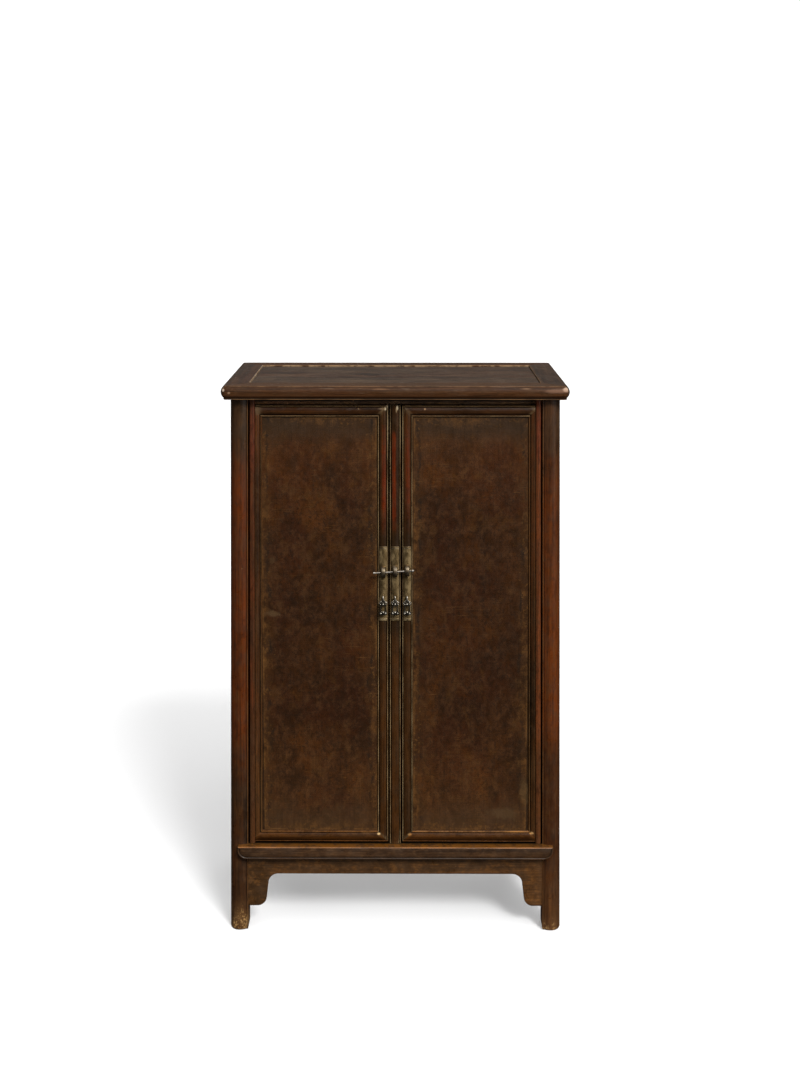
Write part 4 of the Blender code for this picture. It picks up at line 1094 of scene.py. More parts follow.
LEG_LEVELS = [0, 0.0003, 0.0009, 0.0018, 0.003, 0.0045, 0.012] + list(
    np.linspace(0.03, UNDER - GAP, 46)
)
for sy, row in ((-1, "front"), (1, "back")):
    for sx, side in ((-1, "left"), (1, "right")):

        def place(a, b, c, sx=sx, sy=sy):
            a, b = rounded_foot(a, b, c)
            return (sx * (LEG_IN_X + a * MM), sy * (LEG_IN_Y + b * MM), c)

        shape = run(
            LEG_OUTLINE,
            lambda a, b: 0.0,
            lambda a, b: UNDER - GAP,
            place,
            [z / (UNDER - GAP) for z in LEG_LEVELS],
            step=1.6,
            window=1.3,
        )
        wood = old_wood(
            f"leg_{row}_{side}_wood",
            "Z",
            20 + 2 * sy + sx,
            base=(64, 39, 21),
            warm=(86, 46, 20),
            grey=(66, 50, 35),
            bands=[
                (0.34, 0.48, 0.95, 1.08, (108, 49, 12) if sx < 0 else (114, 55, 16), 0.85),
                (-1.0, -0.9, 0.05, 0.20, (72, 46, 26) if sx < 0 else (104, 70, 43), 0.7),
                (0.98, 1.10, 1.30, 1.40, (70, 52, 36) if sx < 0 else (90, 65, 47), 0.75),
            ],
            flecks=(0.085, 0.9, (116, 86, 56)) if sx < 0 else (0.040, 0.8, (107, 75, 50)),
            rubbed=(122, 84, 52),
            mottle=0.42,
            ochre=(92, 60, 32),
            gain=(1.04, 0.98, 0.82),
        )
        piece(
            f"fine_leg_{row}_{side}",
            [uneven(shape.splay(), 0.00015, 25, 30 + 2 * sy + sx)],
            "carcase",
            f"leg_{row}_{side}",
            wood,
        )

# ---------------------------------------------------------------- sill
END, LOW, TOP, R = SILL_END / MM, SILL_B / MM, SILL_T / MM, 19.5
left_to_right = [(-END, TOP - 3.0), (-END, TOP - 5.5)] + arc(-END + R, LOW + R, R, 180, 270, 14)
left_to_right += [(x, LOW) for x in np.linspace(-END + R, END - R, 42)[1:-1]]
left_to_right += arc(END - R, LOW + R, R, 270, 360, 14) + [(END, TOP - 5.5), (END, TOP - 3.0)]
corner_right = [(END, TOP - 1.2), (END - 0.8, TOP - 0.2)]
along_top = [(x, TOP) for x in np.linspace(END - 3, -END + 3, 60)]
corner_left = [(-END + 0.8, TOP - 0.2), (-END, TOP - 1.2)]
SILL_POINTS = left_to_right + corner_right + along_top + corner_left
IS_TOP = [False] * (len(left_to_right) + 1) + [True] * (len(along_top) + 2) + [False]
EDGE_RINGS = [
    (0.0, -17.0, 0, 0),
    (0.0, -3.2, 0.05, 0),
    (0.3, -2.0, 0.2, 0),
    (0.9, -1.0, 0.2, 0),
    (1.8, -0.6, 0.2, 0),
    (2.7, -0.8, 0.1, 0.15),
    (3.4, -1.5, 0.0, 0.5),
    (3.9, -2.1, 0, 0.6),
    (4.4, -1.4, 0.0, 0.45),
    (5.4, -0.8, 0.0, 0.2),
    (8.5, -0.25, 0, 0),
    (11.5, 0.0, 0, 0),
]
TOP_RINGS = [
    (0.0, -17.0, 0, 0),
    (0.0, -4.6, 0.15, 0),
    (0.15, -3.6, 0.35, 0),
    (0.5, -2.5, 0.75, 0),
    (0.9, -1.9, 1, 0),
    (1.4, -1.4, 1, 0),
    (2.0, -1.05, 0.65, 0),
    (2.6, -0.85, 0.3, 0),
    (3.4, -0.7, 0.1, 0),
    (4.6, -0.55, 0.05, 0),
    (7.0, -0.25, 0, 0),
    (10.0, 0.0, 0, 0),
]
rings = [
    [TOP_RINGS[k] if top else EDGE_RINGS[k] for top in IS_TOP] for k in range(len(EDGE_RINGS))
]
front = emboss(
    SILL_POINTS,
    rings,
    lambda a, b, h: (a * MM, -(SILL_FRONT + h * MM), b * MM),
    [(END - e[0], TOP - t[0]) for e, t in zip(EDGE_RINGS, TOP_RINGS)],
).splay()
rear = block(
    (-LEG_IN_X + GAP, LEG_IN_X - GAP), (-0.17605, -LEG_IN_Y), (SILL_B, SILL_T), 0.0003
).splay()
piece(
    "fine_sill",
    [uneven(front, 0.00012, 40, 51), rear],
    "carcase",
    "sill_front",
    old_wood(
        "sill_wood",
        "X",
        41,
        base=(76, 52, 33),
        dark=(48, 33, 22),
        warm=(88, 56, 28),
        grey=(84, 64, 46),
        rubbed=(176, 116, 64),
        rub=0.82,
        mottle=0.5,
        ochre=(104, 74, 48),
        # a worn line with a painted highlight along the top arris
        gilt=[("Z", SILL_T, 0.0012, (112, 68, 20), 0.85)],
        patch_size=(80, 44),
        # painted shade on the sill top towards the doors, and a painted shadow in the gap under them
        shades=[("Y", -0.1860, -0.1800, (46, 33, 15), 0.7), ("Y", -0.1796, -0.1782, (10, 7, 4), 0.95)],
        streaks=[(-0.33, 0.07, -1.0, -0.9, 1.0, 1.1, (52, 34, 19), 0.7)],
    ),
)


# ---------------------------------------------------------------- aprons
def apron_outline(half, inner):
    top, low, foot = SILL_B / MM - 0.3, APRON_B / MM, SPANDREL_B / MM
    big, small = 21.0, 19.0
    right = arc(inner - big - 1.0, low - big, big, 90, 6, 14)
    right += arc(inner + 2.6 + small, foot + small, small, 186, 270, 16)
    right += [(half, foot), (half, top)]
    return right + [(-a, b) for a, b in reversed(right)]


def with_points(loop, step):
    """Adds points along the long straight runs of an outline."""
    made = []
    for (a, b), (c, d) in zip(loop, loop[1:] + loop[:1]):
        count = max(1, int(math.hypot(c - a, d - b) / step))
        made += [(a + (c - a) * k / count, b + (d - b) * k / count) for k in range(count)]
    return made


APRON_LOOK = dict(
    base=(84, 58, 35),
    dark=(58, 40, 25),
    warm=(104, 66, 34),
    grey=(96, 72, 50),
    rubbed=(140, 98, 60),
    rub=0.7,
    mottle=0.55,
    ochre=(112, 74, 38),
    patch_size=(74, 62),
    gain=(1.25, 1.20, 1.08),
)
full, side_full = (LEG_IN_X + APRON_TONGUE) / MM, (LEG_IN_Y + APRON_TONGUE) / MM
front_mid, back_mid = -sum(FRONT_APRON_Y) / 2, sum(BACK_APRON_Y) / 2
side_mid = sum(SIDE_APRON_X) / 2
for name, half, inner, axis, place, seed in (
    ("front", full, 264.5, "X", lambda a, b, c: (a * MM, front_mid - c * MM, b * MM), 61),
    ("back", full, 264.5, "X", lambda a, b, c: (a * MM, back_mid + c * MM, b * MM), 63),
    ("left", side_full, 98.0, "Y", lambda a, b, c: (-side_mid - c * MM, a * MM, b * MM), 65),
    ("right", side_full, 98.0, "Y", lambda a, b, c: (side_mid + c * MM, a * MM, b * MM), 67),
):
    shape = flat_shape([with_points(apron_outline(half, inner), 12)], 9.0, 1.6, place, 3)
    piece(
        f"fine_apron_{name}",
        [shape.splay()],
        "carcase",
        f"apron_{name}",
        old_wood(
            f"apron_{name}_wood",
            axis,
            seed,
            streaks=[
                (-0.30, 0.05, -1.0, -0.9, 0.10, 0.16, (53, 35, 17), 0.85),
                (0.30, 0.05, -1.0, -0.9, 0.12, 0.18, (95, 59, 27), 0.45),
            ]
            if name == "front"
            else (),
            **APRON_LOOK,
        ),
    )

# ---------------------------------------------------------------- centre stile
half_face = edge_bead(-CENTRE_HALF, 1) + swell_points(0.0, 7.2, 9)
CENTRE_OUTLINE = half_face + [(-w, t) for w, t in reversed(edge_bead(-CENTRE_HALF, 1))]
CENTRE_OUTLINE += [(CENTRE_HALF, -DOOR_BACK), (-CENTRE_HALF, -DOOR_BACK)]
# the pale rubbed colour also paints the highlights along the stiles' beads
STILE_LOOK = dict(
    base=(56, 36, 19),
    dark=(30, 19, 11),
    warm=(74, 46, 22),
    grey=(70, 52, 34),
    rubbed=(160, 142, 120),
    rub=1.05,
    mottle=0.35,
    ochre=(78, 50, 26),
    specular=0.17,
    gain=(1.09, 0.98, 0.70),
)


# colours of painted highlights
PALE, TAN = (220, 210, 200), (190, 150, 108)
GRIME = (34, 25, 16)


def plate_grime(x):
    """Dark wood above and below a lock plate."""
    return [(x, PLATE_T + 0.010, 0.024, 0.034, GRIME, 0.62), (x, PLATE_B - 0.012, 0.024, 0.030, GRIME, 0.5)]



# painted highlights at the doors' mitres and along their beads, and a greyer patch at the left door's top corner
DOOR_SPOTS = {
    -1: [
        (-0.0203, 1.1352, 0.0038, 0.0046, PALE, 0.9),
        (-0.0165, 1.1395, 0.0034, 0.0034, PALE, 0.75),
        (-0.0280, 1.1345, 0.0100, 0.0026, (150, 134, 120), 0.55),
        (-0.0157, 1.0900, 0.0022, 0.0600, (168, 152, 136), 0.55),
        (-0.2850, 1.1405, 0.0060, 0.0030, (150, 134, 118), 0.6),
        (-0.2870, 1.1330, 0.0140, 0.0130, (104, 90, 78), 0.5),
        (-0.0350, 0.2142, 0.0048, 0.0032, PALE, 0.85),
        (-0.0600, 0.2165, 0.0240, 0.0024, (150, 122, 98), 0.5),
    ],
    1: [
        (0.0617, 1.1340, 0.0032, 0.0028, (190, 160, 140), 0.75),
        (0.0159, 1.0900, 0.0020, 0.0600, (160, 142, 122), 0.45),
        (0.0310, 0.2130, 0.0060, 0.0036, TAN, 0.6),
        (0.2915, 0.2165, 0.0060, 0.0040, (206, 170, 128), 0.85),
        (0.2600, 0.2180, 0.0360, 0.0026, TAN, 0.65),
    ],
}


PANEL_SPOTS = {
    -1: [(-0.2560, 0.6960, 0.0200, 0.0100, (88, 70, 50), 0.6), (-0.2590, 0.8100, 0.0080, 0.0110, (76, 58, 38), 0.4)],
    1: [(0.2760, 0.3000, 0.0120, 0.0420, (90, 72, 48), 0.4), (0.2300, 0.2600, 0.0500, 0.0160, (84, 66, 46), 0.4)],
}


def red_streak(x, amount):
    """The red-brown line that hands have rubbed on a stile above its lock plate."""
    return [(x, 0.0057, 0.86, 0.93, 1.05, 1.11, (110, 41, 12), amount)]


LOW_BAND = (0.10, 0.24, 0.60, 0.70, (76, 46, 20), 0.65)


def upright(middle_x=0.0, side=1):
    return lambda a, b, c: (side * (middle_x + a * MM), -DOOR_Y - b * MM, c)


TALL = stations(44, [k / 940 for k in (1, 3, 6, 10, 15)])
shape = run(
    CENTRE_OUTLINE,
    lambda a, b: SILL_T + GAP,
    lambda a, b: DOOR_T,
    upright(),
    TALL,
    end_wear=0.35,
    face_from=0.5,
    step=0.6,
    round_r=0.5,
)
piece(
    "fine_centre_stile",
    [uneven(shape.splay(), 0.0001, 30, 71)],
    "carcase",
    "centre_stile",
    old_wood(
        "centre_stile_wood",
        "Z",
        71,
        streaks=red_streak(-0.002, 0.95),
        bands=[LOW_BAND],
        spots=plate_grime(0.0)
        + [
            # painted highlights at the stile's top and down its bead
            (0.0045, 1.1366, 0.0026, 0.0062, PALE, 0.8),
            (0.0025, 1.1325, 0.0018, 0.0080, (170, 152, 132), 0.5),
            (0.0101, 1.0900, 0.0020, 0.0600, (160, 142, 122), 0.5),
        ],
        **STILE_LOOK,
    ),
)

# ---------------------------------------------------------------- doors
RAIL_OUTLINE = with_groove(rail_face(RAIL_W), RAIL_W)
MEET_OUTLINE = with_groove(rail_face(MEET_W), MEET_W)
U_IN = (HINGE_X - PANEL_OUT_X) / MM
U_OUT = 6.3
W_OUT = RAIL_W - (U_IN - U_OUT)
HINGE_FACE = [(U_OUT, -1.0), (U_OUT, swell(W_OUT, RAIL_W / 2 - 0.9, RAIL_W / 2 - 5.6) - 0.5)]
HINGE_FACE += [(w - RAIL_W + U_IN, t) for w, t in rail_face(RAIL_W) if w > W_OUT + 0.4]
HINGE_OUTLINE = with_groove(HINGE_FACE, U_IN, -4.4) + [(-4.4, -2.6), (0.0, -3.0)]
MEET_IN_X = MEET_X + MEET_W * MM
MEET_MID = 0.02476
SEAM = 0.00008


def rod_point(sx, a, b, c):
    """A point of a door's rod: squarer than round between its pivots."""
    r = math.hypot(a, b)
    if r > PIVOT_R + 0.3:
        k = ((abs(a) / r) ** 2.7 + (abs(b) / r) ** 2.7) ** (-1 / 2.7)
        a, b = a * k, b * k
    return (sx * HINGE_X + a * MM, -DOOR_Y + b * MM, c * MM)


def panel_shape(sx):
    deep = (GROOVE_DEEP - 0.8) * MM
    x0, x1 = MEET_IN_X - deep, PANEL_OUT_X + deep
    z0, z1 = DOOR_B + RAIL_W * MM - deep, DOOR_T - RAIL_W * MM + deep

    def face(x, z):
        seen = min(x - MEET_IN_X, PANEL_OUT_X - x, z - DOOR_B - RAIL_W * MM, DOOR_T - RAIL_W * MM - z)
        wave = noise.noise(Vector((sx * x * 14, 3.3, z * 9))) * 0.00022
        wave += noise.noise(Vector((sx * x * 45, 8.3, z * 30))) * 0.00009
        return PANEL_FACE * MM + wave * smooth(0.0, 0.02, seen)

    return slab(
        list(np.linspace(x0, x1, 64)),
        list(np.linspace(z0, z1, 190)),
        face,
        lambda x, z: (PANEL_FACE - PANEL_T) * MM,
        lambda u, v, h: (sx * u, -DOOR_Y - h, v),
    )


for sx, side in ((-1, "left"), (1, "right")):
    body = f"{side}_door"
    for level, edge, up in (("top", DOOR_T, -1), ("bottom", DOOR_B, 1)):
        shape = run(
            RAIL_OUTLINE,
            lambda a, b: MEET_X + a * MM * MEET_W / RAIL_W + SEAM,
            lambda a, b: HINGE_X - (U_OUT + max(0.0, a - W_OUT)) * MM - SEAM,
            lambda a, b, c, sx=sx, edge=edge, up=up: (sx * c, -DOOR_Y - b * MM, edge + up * a * MM),
            stations(22, [k / 270 for k in (1, 3, 6, 10, 15)]),
            end_wear=0.55,
            face_from=0.5,
            step=0.6,
            round_r=0.5,
        )
        look = dict(
            STILE_LOOK,
            base=(62, 42, 27),
            warm=(78, 46, 24),
            spots=DOOR_SPOTS[sx],
            # a painted highlight along the door's top bead
            gilt=[("Z", DOOR_T - 0.0019, 0.0016, (140, 120, 102), 0.6)],
            gain=(1.10, 0.90, 0.60),
        )
        if level == "bottom":
            look.update(
                base=(70, 46, 26),
                warm=(88, 58, 30),
                rubbed=(150, 108, 70),
                rub=0.65,
                # worn lines and painted highlights over the bottom rail's upper slope and bead
                gilt=[
                    ("Z", DOOR_B + 0.0185, 0.009, (110, 82, 58), 0.30),
                    ("Z", DOOR_B + 0.0222, 0.0026, (112, 86, 62) if sx < 0 else (146, 120, 102), 0.7),
                ],
                specular=0.10,
                gain=(0.94, 0.69, 0.34),
            )
        piece(
            f"fine_{side}_door_{level}_rail",
            [uneven(shape.splay(), 0.00008, 40, 80 + sx + up)],
            body,
            f"{side}_door_{level}_rail",
            old_wood(f"{side}_{level}_rail_wood", "X", 80 + 3 * sx + up, **look),
        )
    ratio = RAIL_W / MEET_W
    shape = run(
        MEET_OUTLINE,
        lambda a, b: DOOR_B + a * MM * ratio + SEAM,
        lambda a, b: DOOR_T - a * MM * ratio - SEAM,
        upright(MEET_X, sx),
        TALL,
        end_wear=0.45,
        face_from=0.5,
        step=0.6,
        round_r=0.5,
    )
    piece(
        f"fine_{side}_door_meeting_stile",
        [uneven(shape.splay(), 0.00008, 30, 90 + sx)],
        body,
        f"{side}_door_meeting_stile",
        old_wood(
            f"{side}_meeting_wood",
            "Z",
            90 + sx,
            streaks=red_streak(sx * MEET_MID + 0.0015, 0.85 if sx < 0 else 0.6),
            bands=[LOW_BAND] if sx < 0 else [(0.84, 0.92, 1.10, 1.16, (88, 50, 24), 0.6)],
            spots=DOOR_SPOTS[sx] + plate_grime(sx * MEET_MID),
            **STILE_LOOK,
        ),
    )

    def slope(a):
        return (W_OUT + max(0.0, a - U_OUT)) * MM + SEAM

    shape = run(
        HINGE_OUTLINE,
        lambda a, b: DOOR_B + slope(a),
        lambda a, b: DOOR_T - slope(a),
        lambda a, b, c, sx=sx: (sx * (HINGE_X - a * MM), -DOOR_Y - b * MM, c),
        TALL,
        end_wear=0.3,
        face_from=0.5,
        step=0.6,
        round_r=0.5,
    )
    low, high = SILL_T / MM + 0.6, UNDER / MM - 0.6
    levels = np.linspace(high, low, 30)
    rod = turned(
        [(0, high + 10.5), (PIVOT_R, high + 10.5), (PIVOT_R, high), (ROD_R - 0.5, high)]
        + [(ROD_R, z) for z in (high - 0.5, *levels[1:-1], low + 0.5)]
        + [(ROD_R - 0.5, low), (PIVOT_R, low), (PIVOT_R, low - 11.5), (0, low - 11.5)],
        36,
        lambda a, b, c, sx=sx: rod_point(sx, a, b, c),
    )
    piece(
        f"fine_{side}_door_hinge_stile",
        [uneven(shape.splay(), 0.00008, 30, 94 + sx)],
        body,
        f"{side}_door_hinge_stile",
        old_wood(
            f"{side}_hinge_wood",
            "Z",
            94 + sx,
            **dict(
                STILE_LOOK,
                base=(78, 49, 30),
                warm=(98, 55, 29),
                rubbed=(122, 98, 74),
                rub=0.6,
                bands=[(0.08, 0.18, 0.36, 0.50, (84, 56, 33) if sx < 0 else (104, 70, 40), 0.65)],
                spots=DOOR_SPOTS[sx],
            ),
        ),
    )
    piece(
        f"fine_{side}_door_hinge_rod",
        [uneven(rod.splay(), 0.00008, 30, 98 + sx)],
        body,
        f"{side}_door_hinge_stile",
        old_wood(
            f"{side}_rod_wood",
            "Z",
            98 + sx,
            **dict(
                STILE_LOOK,
                base=(84, 50, 29),
                dark=(50, 31, 19),
                warm=(112, 58, 30) if sx < 0 else (122, 64, 32),
                warm_amount=0.7,
                bands=[(0.08, 0.20, 0.36, 0.50, (78, 52, 30), 0.8), (1.00, 1.08, 1.30, 1.40, (112, 52, 36), 0.6)],
                mottle=0.6,
                # the right rod is painted lighter, where its leg shades it
                gain=(1.12, 1.00, 0.88) if sx < 0 else (1.19, 1.09, 0.94),
            ),
        ),
    )
    middle = ((MEET_IN_X + PANEL_OUT_X) / 2 * sx * section(0.66), (DOOR_B + DOOR_T) / 2)
    half = ((PANEL_OUT_X - MEET_IN_X) / 2 * section(0.66), (DOOR_T - DOOR_B) / 2 - RAIL_W * MM)
    piece(
        f"fine_{side}_door_panel",
        [panel_shape(sx).splay()],
        body,
        f"{side}_door_panel",
        lacquer_panel(
            f"{side}_panel_lacquer",
            middle,
            half,
            100 + 5 * sx,
            gain=(1.12, 1.02, 0.83),
            spots=PANEL_SPOTS[sx],
        ),
    )

# ---------------------------------------------------------------- metalwork
PLATE_HALF, PLATE_THICK = 8.3, 1.2


def plate_shape(x, half, seed):
    """A lock plate bent over the moulding, with a raised line at each end."""
    length = (PLATE_T - PLATE_B) / MM + 2.6
    ws = sorted({-8.3, -8.1, -7.7, 7.7, 8.1, 8.3, *np.linspace(-7.2, 7.2, 15).tolist()})
    zs = [0, 0.25, 0.7, 1.3, 2.1, 2.8, 3.3, 3.7, 4.1, 4.5, 4.9, 5.3, 5.7, 6.1, 6.6, 7.4]
    zs = zs + list(np.linspace(9.5, length - 9.5, 58)) + [length - z for z in reversed(zs)]

    def face(w, z):
        end = min(z, length - z)
        side = PLATE_HALF - abs(w)
        lift = PLATE_THICK
        lift -= 0.55 * (1 - smooth(0.0, 0.6, side)) + 0.55 * (1 - smooth(0.0, 0.7, end))
        lift += 0.16 * math.exp(-(((end - 4.1) / 0.65) ** 2))
        lift -= 0.20 * math.exp(-(((end - 5.7) / 0.5) ** 2))
        dent = noise.noise(Vector((w * 0.35, z * 0.12, seed))) * 0.16
        return swell(w, 0.0, half) + 0.3 + lift + dent * smooth(0.5, 2, side)

    shape = slab(
        ws,
        zs,
        face,
        lambda w, z: swell(w, 0.0, half) + 0.3,
        lambda w, z, h: (x + w * MM, -DOOR_Y - h * MM, PLATE_B + z * MM),
    )
    n = len(ws) * len(zs)
    for i in range(n):
        w, z = ws[i % len(ws)], zs[i // len(ws)]
        end, side = min(z, length - z), PLATE_HALF - abs(w)
        shape.wear[i] = max(
            0.9 * math.exp(-(((end - 4.1) / 0.8) ** 2)), 0.12 * math.exp(-(((side - 0.9) / 0.5) ** 2))
        )
        # grime beside the raised lines, painted shade along the end edges to dull their highlight, and darker along
        # the sides
        shape.dirt[i] = max(
            0.6 * math.exp(-(((end - 5.7) / 0.5) ** 2)),
            0.9 * (1 - smooth(0.2, 1.2, end)),
            0.7 * (1 - smooth(0.1, 0.7, side)),
        )
    return shape


def eye_shape(x):
    """The lug that the pin runs through: domed, with a cross hole and eased edges."""
    z0, steps = EYE_Z + PIN_RISE * x, 40
    hole_mid = PIN_T
    outer, hole = [], []
    for i in range(steps):
        t = 2 * math.pi * i / steps
        c, s = math.cos(t), math.sin(t)
        # the dome outwards, and a flat back that lies in the plate
        reach = 12.4 if c > 0 else 1.6
        outer.append((6.0 + reach * c, 12.2 * s * (1 if c > 0 else 0.93 + 0.07 * abs(s))))
        hole.append((hole_mid + 2.7 * c, 2.7 * s))

    def ring(share, width, shrink):
        made = []
        for (a, b), (c, d) in zip(outer, hole):
            a, b = 6.0 + (a - 6.0) * shrink, b * shrink
            made.append((c + (a - c) * share, d + (b - d) * share, width))
        return made

    rows = [
        ring(0.0, 3.3, 1.0),
        ring(0.05, 4.0, 1.0),
        ring(0.25, 4.3, 1.0),
        ring(0.6, 4.3, 1.0),
        ring(1.0, 4.1, 0.90),
        ring(1.0, 3.6, 0.955),
        ring(1.0, 2.7, 0.99),
        ring(1.0, 1.4, 1.0),
        ring(1.0, -1.4, 1.0),
        ring(1.0, -2.7, 0.99),
        ring(1.0, -3.6, 0.955),
        ring(1.0, -4.1, 0.90),
        ring(0.6, -4.3, 1.0),
        ring(0.25, -4.3, 1.0),
        ring(0.05, -4.0, 1.0),
        ring(0.0, -3.3, 1.0),
    ]
    wide = 1.16
    points = [
        (x + w * wide * MM, -DOOR_Y - a * MM, z0 + b * MM) for row in rows for a, b, w in row
    ]
    faces = []
    for r in range(len(rows)):
        q = (r + 1) % len(rows)
        for i in range(steps):
            j = (i + 1) % steps
            faces.append((r * steps + i, r * steps + j, q * steps + j, q * steps + i))
    # painted highlight: lighter towards the top of the dome and its nose
    wear = [0.0] * len(points)
    for r in range(4, 12):
        for i in range(steps):
            a, b = outer[i]
            wear[r * steps + i] = 0.75 * smooth(2.0, 10.0, b) + 0.25 * smooth(13.0, 18.0, a)
    return Shape().add(points, faces, wear)


PULL_HALF = [
    (0.0, 6.2),
    (1.0, 5.8),
    (2.2, 4.4),
    (3.4, 2.9),
    (4.9, 1.4),
    (6.7, 0.2),
    (8.0, -1.2),
    (8.4, -3.0),
    (7.7, -4.7),
    (6.6, -5.8),
    (6.1, -7.4),
    (6.0, -13.5),
    (6.2, -20.4),
    (7.0, -22.0),
    (7.8, -24.2),
    (7.3, -26.8),
    (5.2, -28.2),
    (2.8, -27.6),
    (1.4, -28.6),
    (0.0, -29.2),
]


def pull_shape(x):
    """An openwork pendant with eased edges and raised bosses."""
    half = [(a * 1.08, b) for a, b in PULL_HALF]
    outline = half + [(-a, b) for a, b in reversed(half[1:-1])]
    outline = [tuple(p) for p in fine_outline(outline, 0.4, 0.6, 75)[0]]

    def ring(cx, cy, r, n):
        return arc(cx, cy, r, 0, 360 * (n - 1) / n, n - 1)

    holes = [
        ring(0.0, 0.0, 1.8, 20),
        ring(5.4, -2.3, 1.4, 16),
        ring(-5.4, -2.3, 1.4, 16),
        arc(2.9, -9.6, 1.2, 0, 90, 5)
        + arc(-2.9, -9.6, 1.2, 90, 180, 5)
        + arc(-2.9, -19.4, 1.2, 180, 270, 5)
        + arc(2.9, -19.4, 1.2, 270, 360, 5),
    ]

    def place(a, b, c):
        return (x + a * MM, -DOOR_Y - (RING_T + c) * MM, STAPLE_Z + (b - RING_R) * MM)

    flat = flat_shape([outline] + holes, 2.2, 0.6, place, 3)
    # rubbed edges, and a painted highlight over the upper part of the pendant
    flat.wear = [
        0.4 * w + 0.4 * smooth(-3.5, 1.0, (point[2] - STAPLE_Z) / MM + RING_R)
        for w, point in zip(flat.wear, flat.points)
    ]
    bosses = []
    for cx, cy, r, rise in (
        (5.0, -24.8, 2.1, 1.0),
        (-5.0, -24.8, 2.1, 1.0),
        (0.0, -22.6, 2.4, 1.1),
        (0.0, -5.2, 2.1, 1.0),
        (5.6, -5.0, 1.2, 0.7),
        (-5.6, -5.0, 1.2, 0.7),
        (2.6, 2.5, 0.9, 0.7),
        (-2.6, 2.5, 0.9, 0.7),
        (4.9, 0.1, 0.9, 0.7),
        (-4.9, 0.1, 0.9, 0.7),
        (7.6, -2.6, 0.8, 0.6),
        (-7.6, -2.6, 0.8, 0.6),
    ):
        dome = [(0, 1.0 + rise)]
        dome += [
            (r * math.sin(math.radians(a)), 1.0 + rise * math.cos(math.radians(a)))
            for a in (20, 40, 60, 78, 90)
        ]
        dome += [(r, 0.6), (0, 0.6)]
        made = turned(dome, 20, lambda a, b, c, cx=cx, cy=cy: place(cx + a, cy + b, c))
        # rubbed boss tops with painted highlights
        made.wear = [0.9 if i < 41 else 0.2 for i in range(len(made.points))]
        bosses.append(made.splay())
    return [flat.splay()] + bosses


SWELL_HALF = {"centre": 9.0}
for where, x, body, seed in (
    ("left", -MEET_MID, "left_door", 1),
    ("centre", 0.0, "carcase", 2),
    ("right", MEET_MID, "right_door", 3),
):
    half = SWELL_HALF.get(where, (MEET_W - 2.0) / 2 - 2.6)
    piece(
        f"fine_{where}_lock_plate",
        [plate_shape(x, half, seed * 4.1).splay()],
        body,
        f"{where}_lock_plate",
        old_brass(f"{where}_plate_brass", seed, *PLATE_BRASS, bright=0.42, dull=0.5),
    )
    piece(
        f"fine_{where}_lock_eye",
        [eye_shape(x).splay()],
        body,
        f"{where}_lock_eye",
        old_brass(f"{where}_eye_brass", seed + 10, *EYE_BRASS, bright=0.16, dull=0.62, satin=0.47),
    )

    def ring_place(a, b, c, x=x):
        tall = b * 1.9 if b > 0 else b
        return (x + 1.45 * c * MM, -DOOR_Y - (RING_T + a) * MM, STAPLE_Z + tall * MM)

    shank = turned(
        [(0, 8.2), (0.9, 8.0), (1.15, 7.2), (1.15, 2.0), (0, 2.0)],
        16,
        lambda a, b, c, x=x: (x + a * MM, -DOOR_Y - c * MM, STAPLE_Z + b * MM),
    )
    loop = torus(RING_R, RING_WIRE, ring_place, 36, 12)
    # painted highlight on the top of the ring
    loop.wear = [0.15 + 0.7 * smooth(5.0, 8.5, (point[2] - STAPLE_Z) / MM) for point in loop.points]
    piece(
        f"fine_{where}_pull_staple",
        [loop.splay(), shank.splay()],
        body,
        f"{where}_pull_staple",
        old_brass(f"{where}_staple_brass", seed + 20, *DARK_BRASS, bright=0.8, dull=0.5),
    )
    piece(
        f"fine_{where}_pull",
        pull_shape(x),
        f"{where}_pull",
        f"{where}_pull",
        old_brass(f"{where}_pull_brass", seed + 30, *PULL_BRASS, bright=0.9, dull=0.7),
    )

PIN = [(0, 39.6), (0.9, 39.5), (1.7, 39.1), (2.4, 38.5), (2.9, 37.9), (3.3, 37.1), (3.4, 36.3)]
PIN += [(3.3, 35.4), (3.1, 34.6), (2.8, 34.0), (2.4, 33.6), (2.2, 33.3), (2.15, 32.8)]
PIN += [(2.15, z) for z in np.linspace(28, -38, 14)]
PIN += [(2.15, -42.2), (2.3, -43.6), (2.5, -44.8), (2.4, -45.5), (2.0, -45.9), (0, -46.0)]
pin = turned(
    PIN,
    20,
    lambda a, b, c: (c * MM, -DOOR_Y - PIN_T * MM + a * MM, EYE_Z + PIN_RISE * c * MM + b * MM),
)
pin.wear = [0.9] * len(pin.points)
piece(
    "fine_lock_pin",
    [pin.splay()],
    "lock_pin",
    "lock_pin",
    old_brass("pin_brass", 50, *PIN_BRASS, bright=0.45, dull=0.4),
)

# ---------------------------------------------------------------- boards that keep their shape
INSIDE = {
    "top_batten": "Y",
    "shelf_bearer_left": "Y",
    "shelf_bearer_right": "Y",
    "floor_board": "X",
    "shelf": "X",
    "left_door_lower_batten": "X",
    "left_door_upper_batten": "X",
    "right_door_lower_batten": "X",
    "right_door_upper_batten": "X",
}
FRAME = {
    "upper_rail_front": "X",
    "upper_rail_back": "X",
    "upper_rail_left": "Y",
    "upper_rail_right": "Y",
    "lower_rail_back": "X",
    "lower_rail_left": "Y",
    "lower_rail_right": "Y",
    "back_centre_stile": "Z",
}


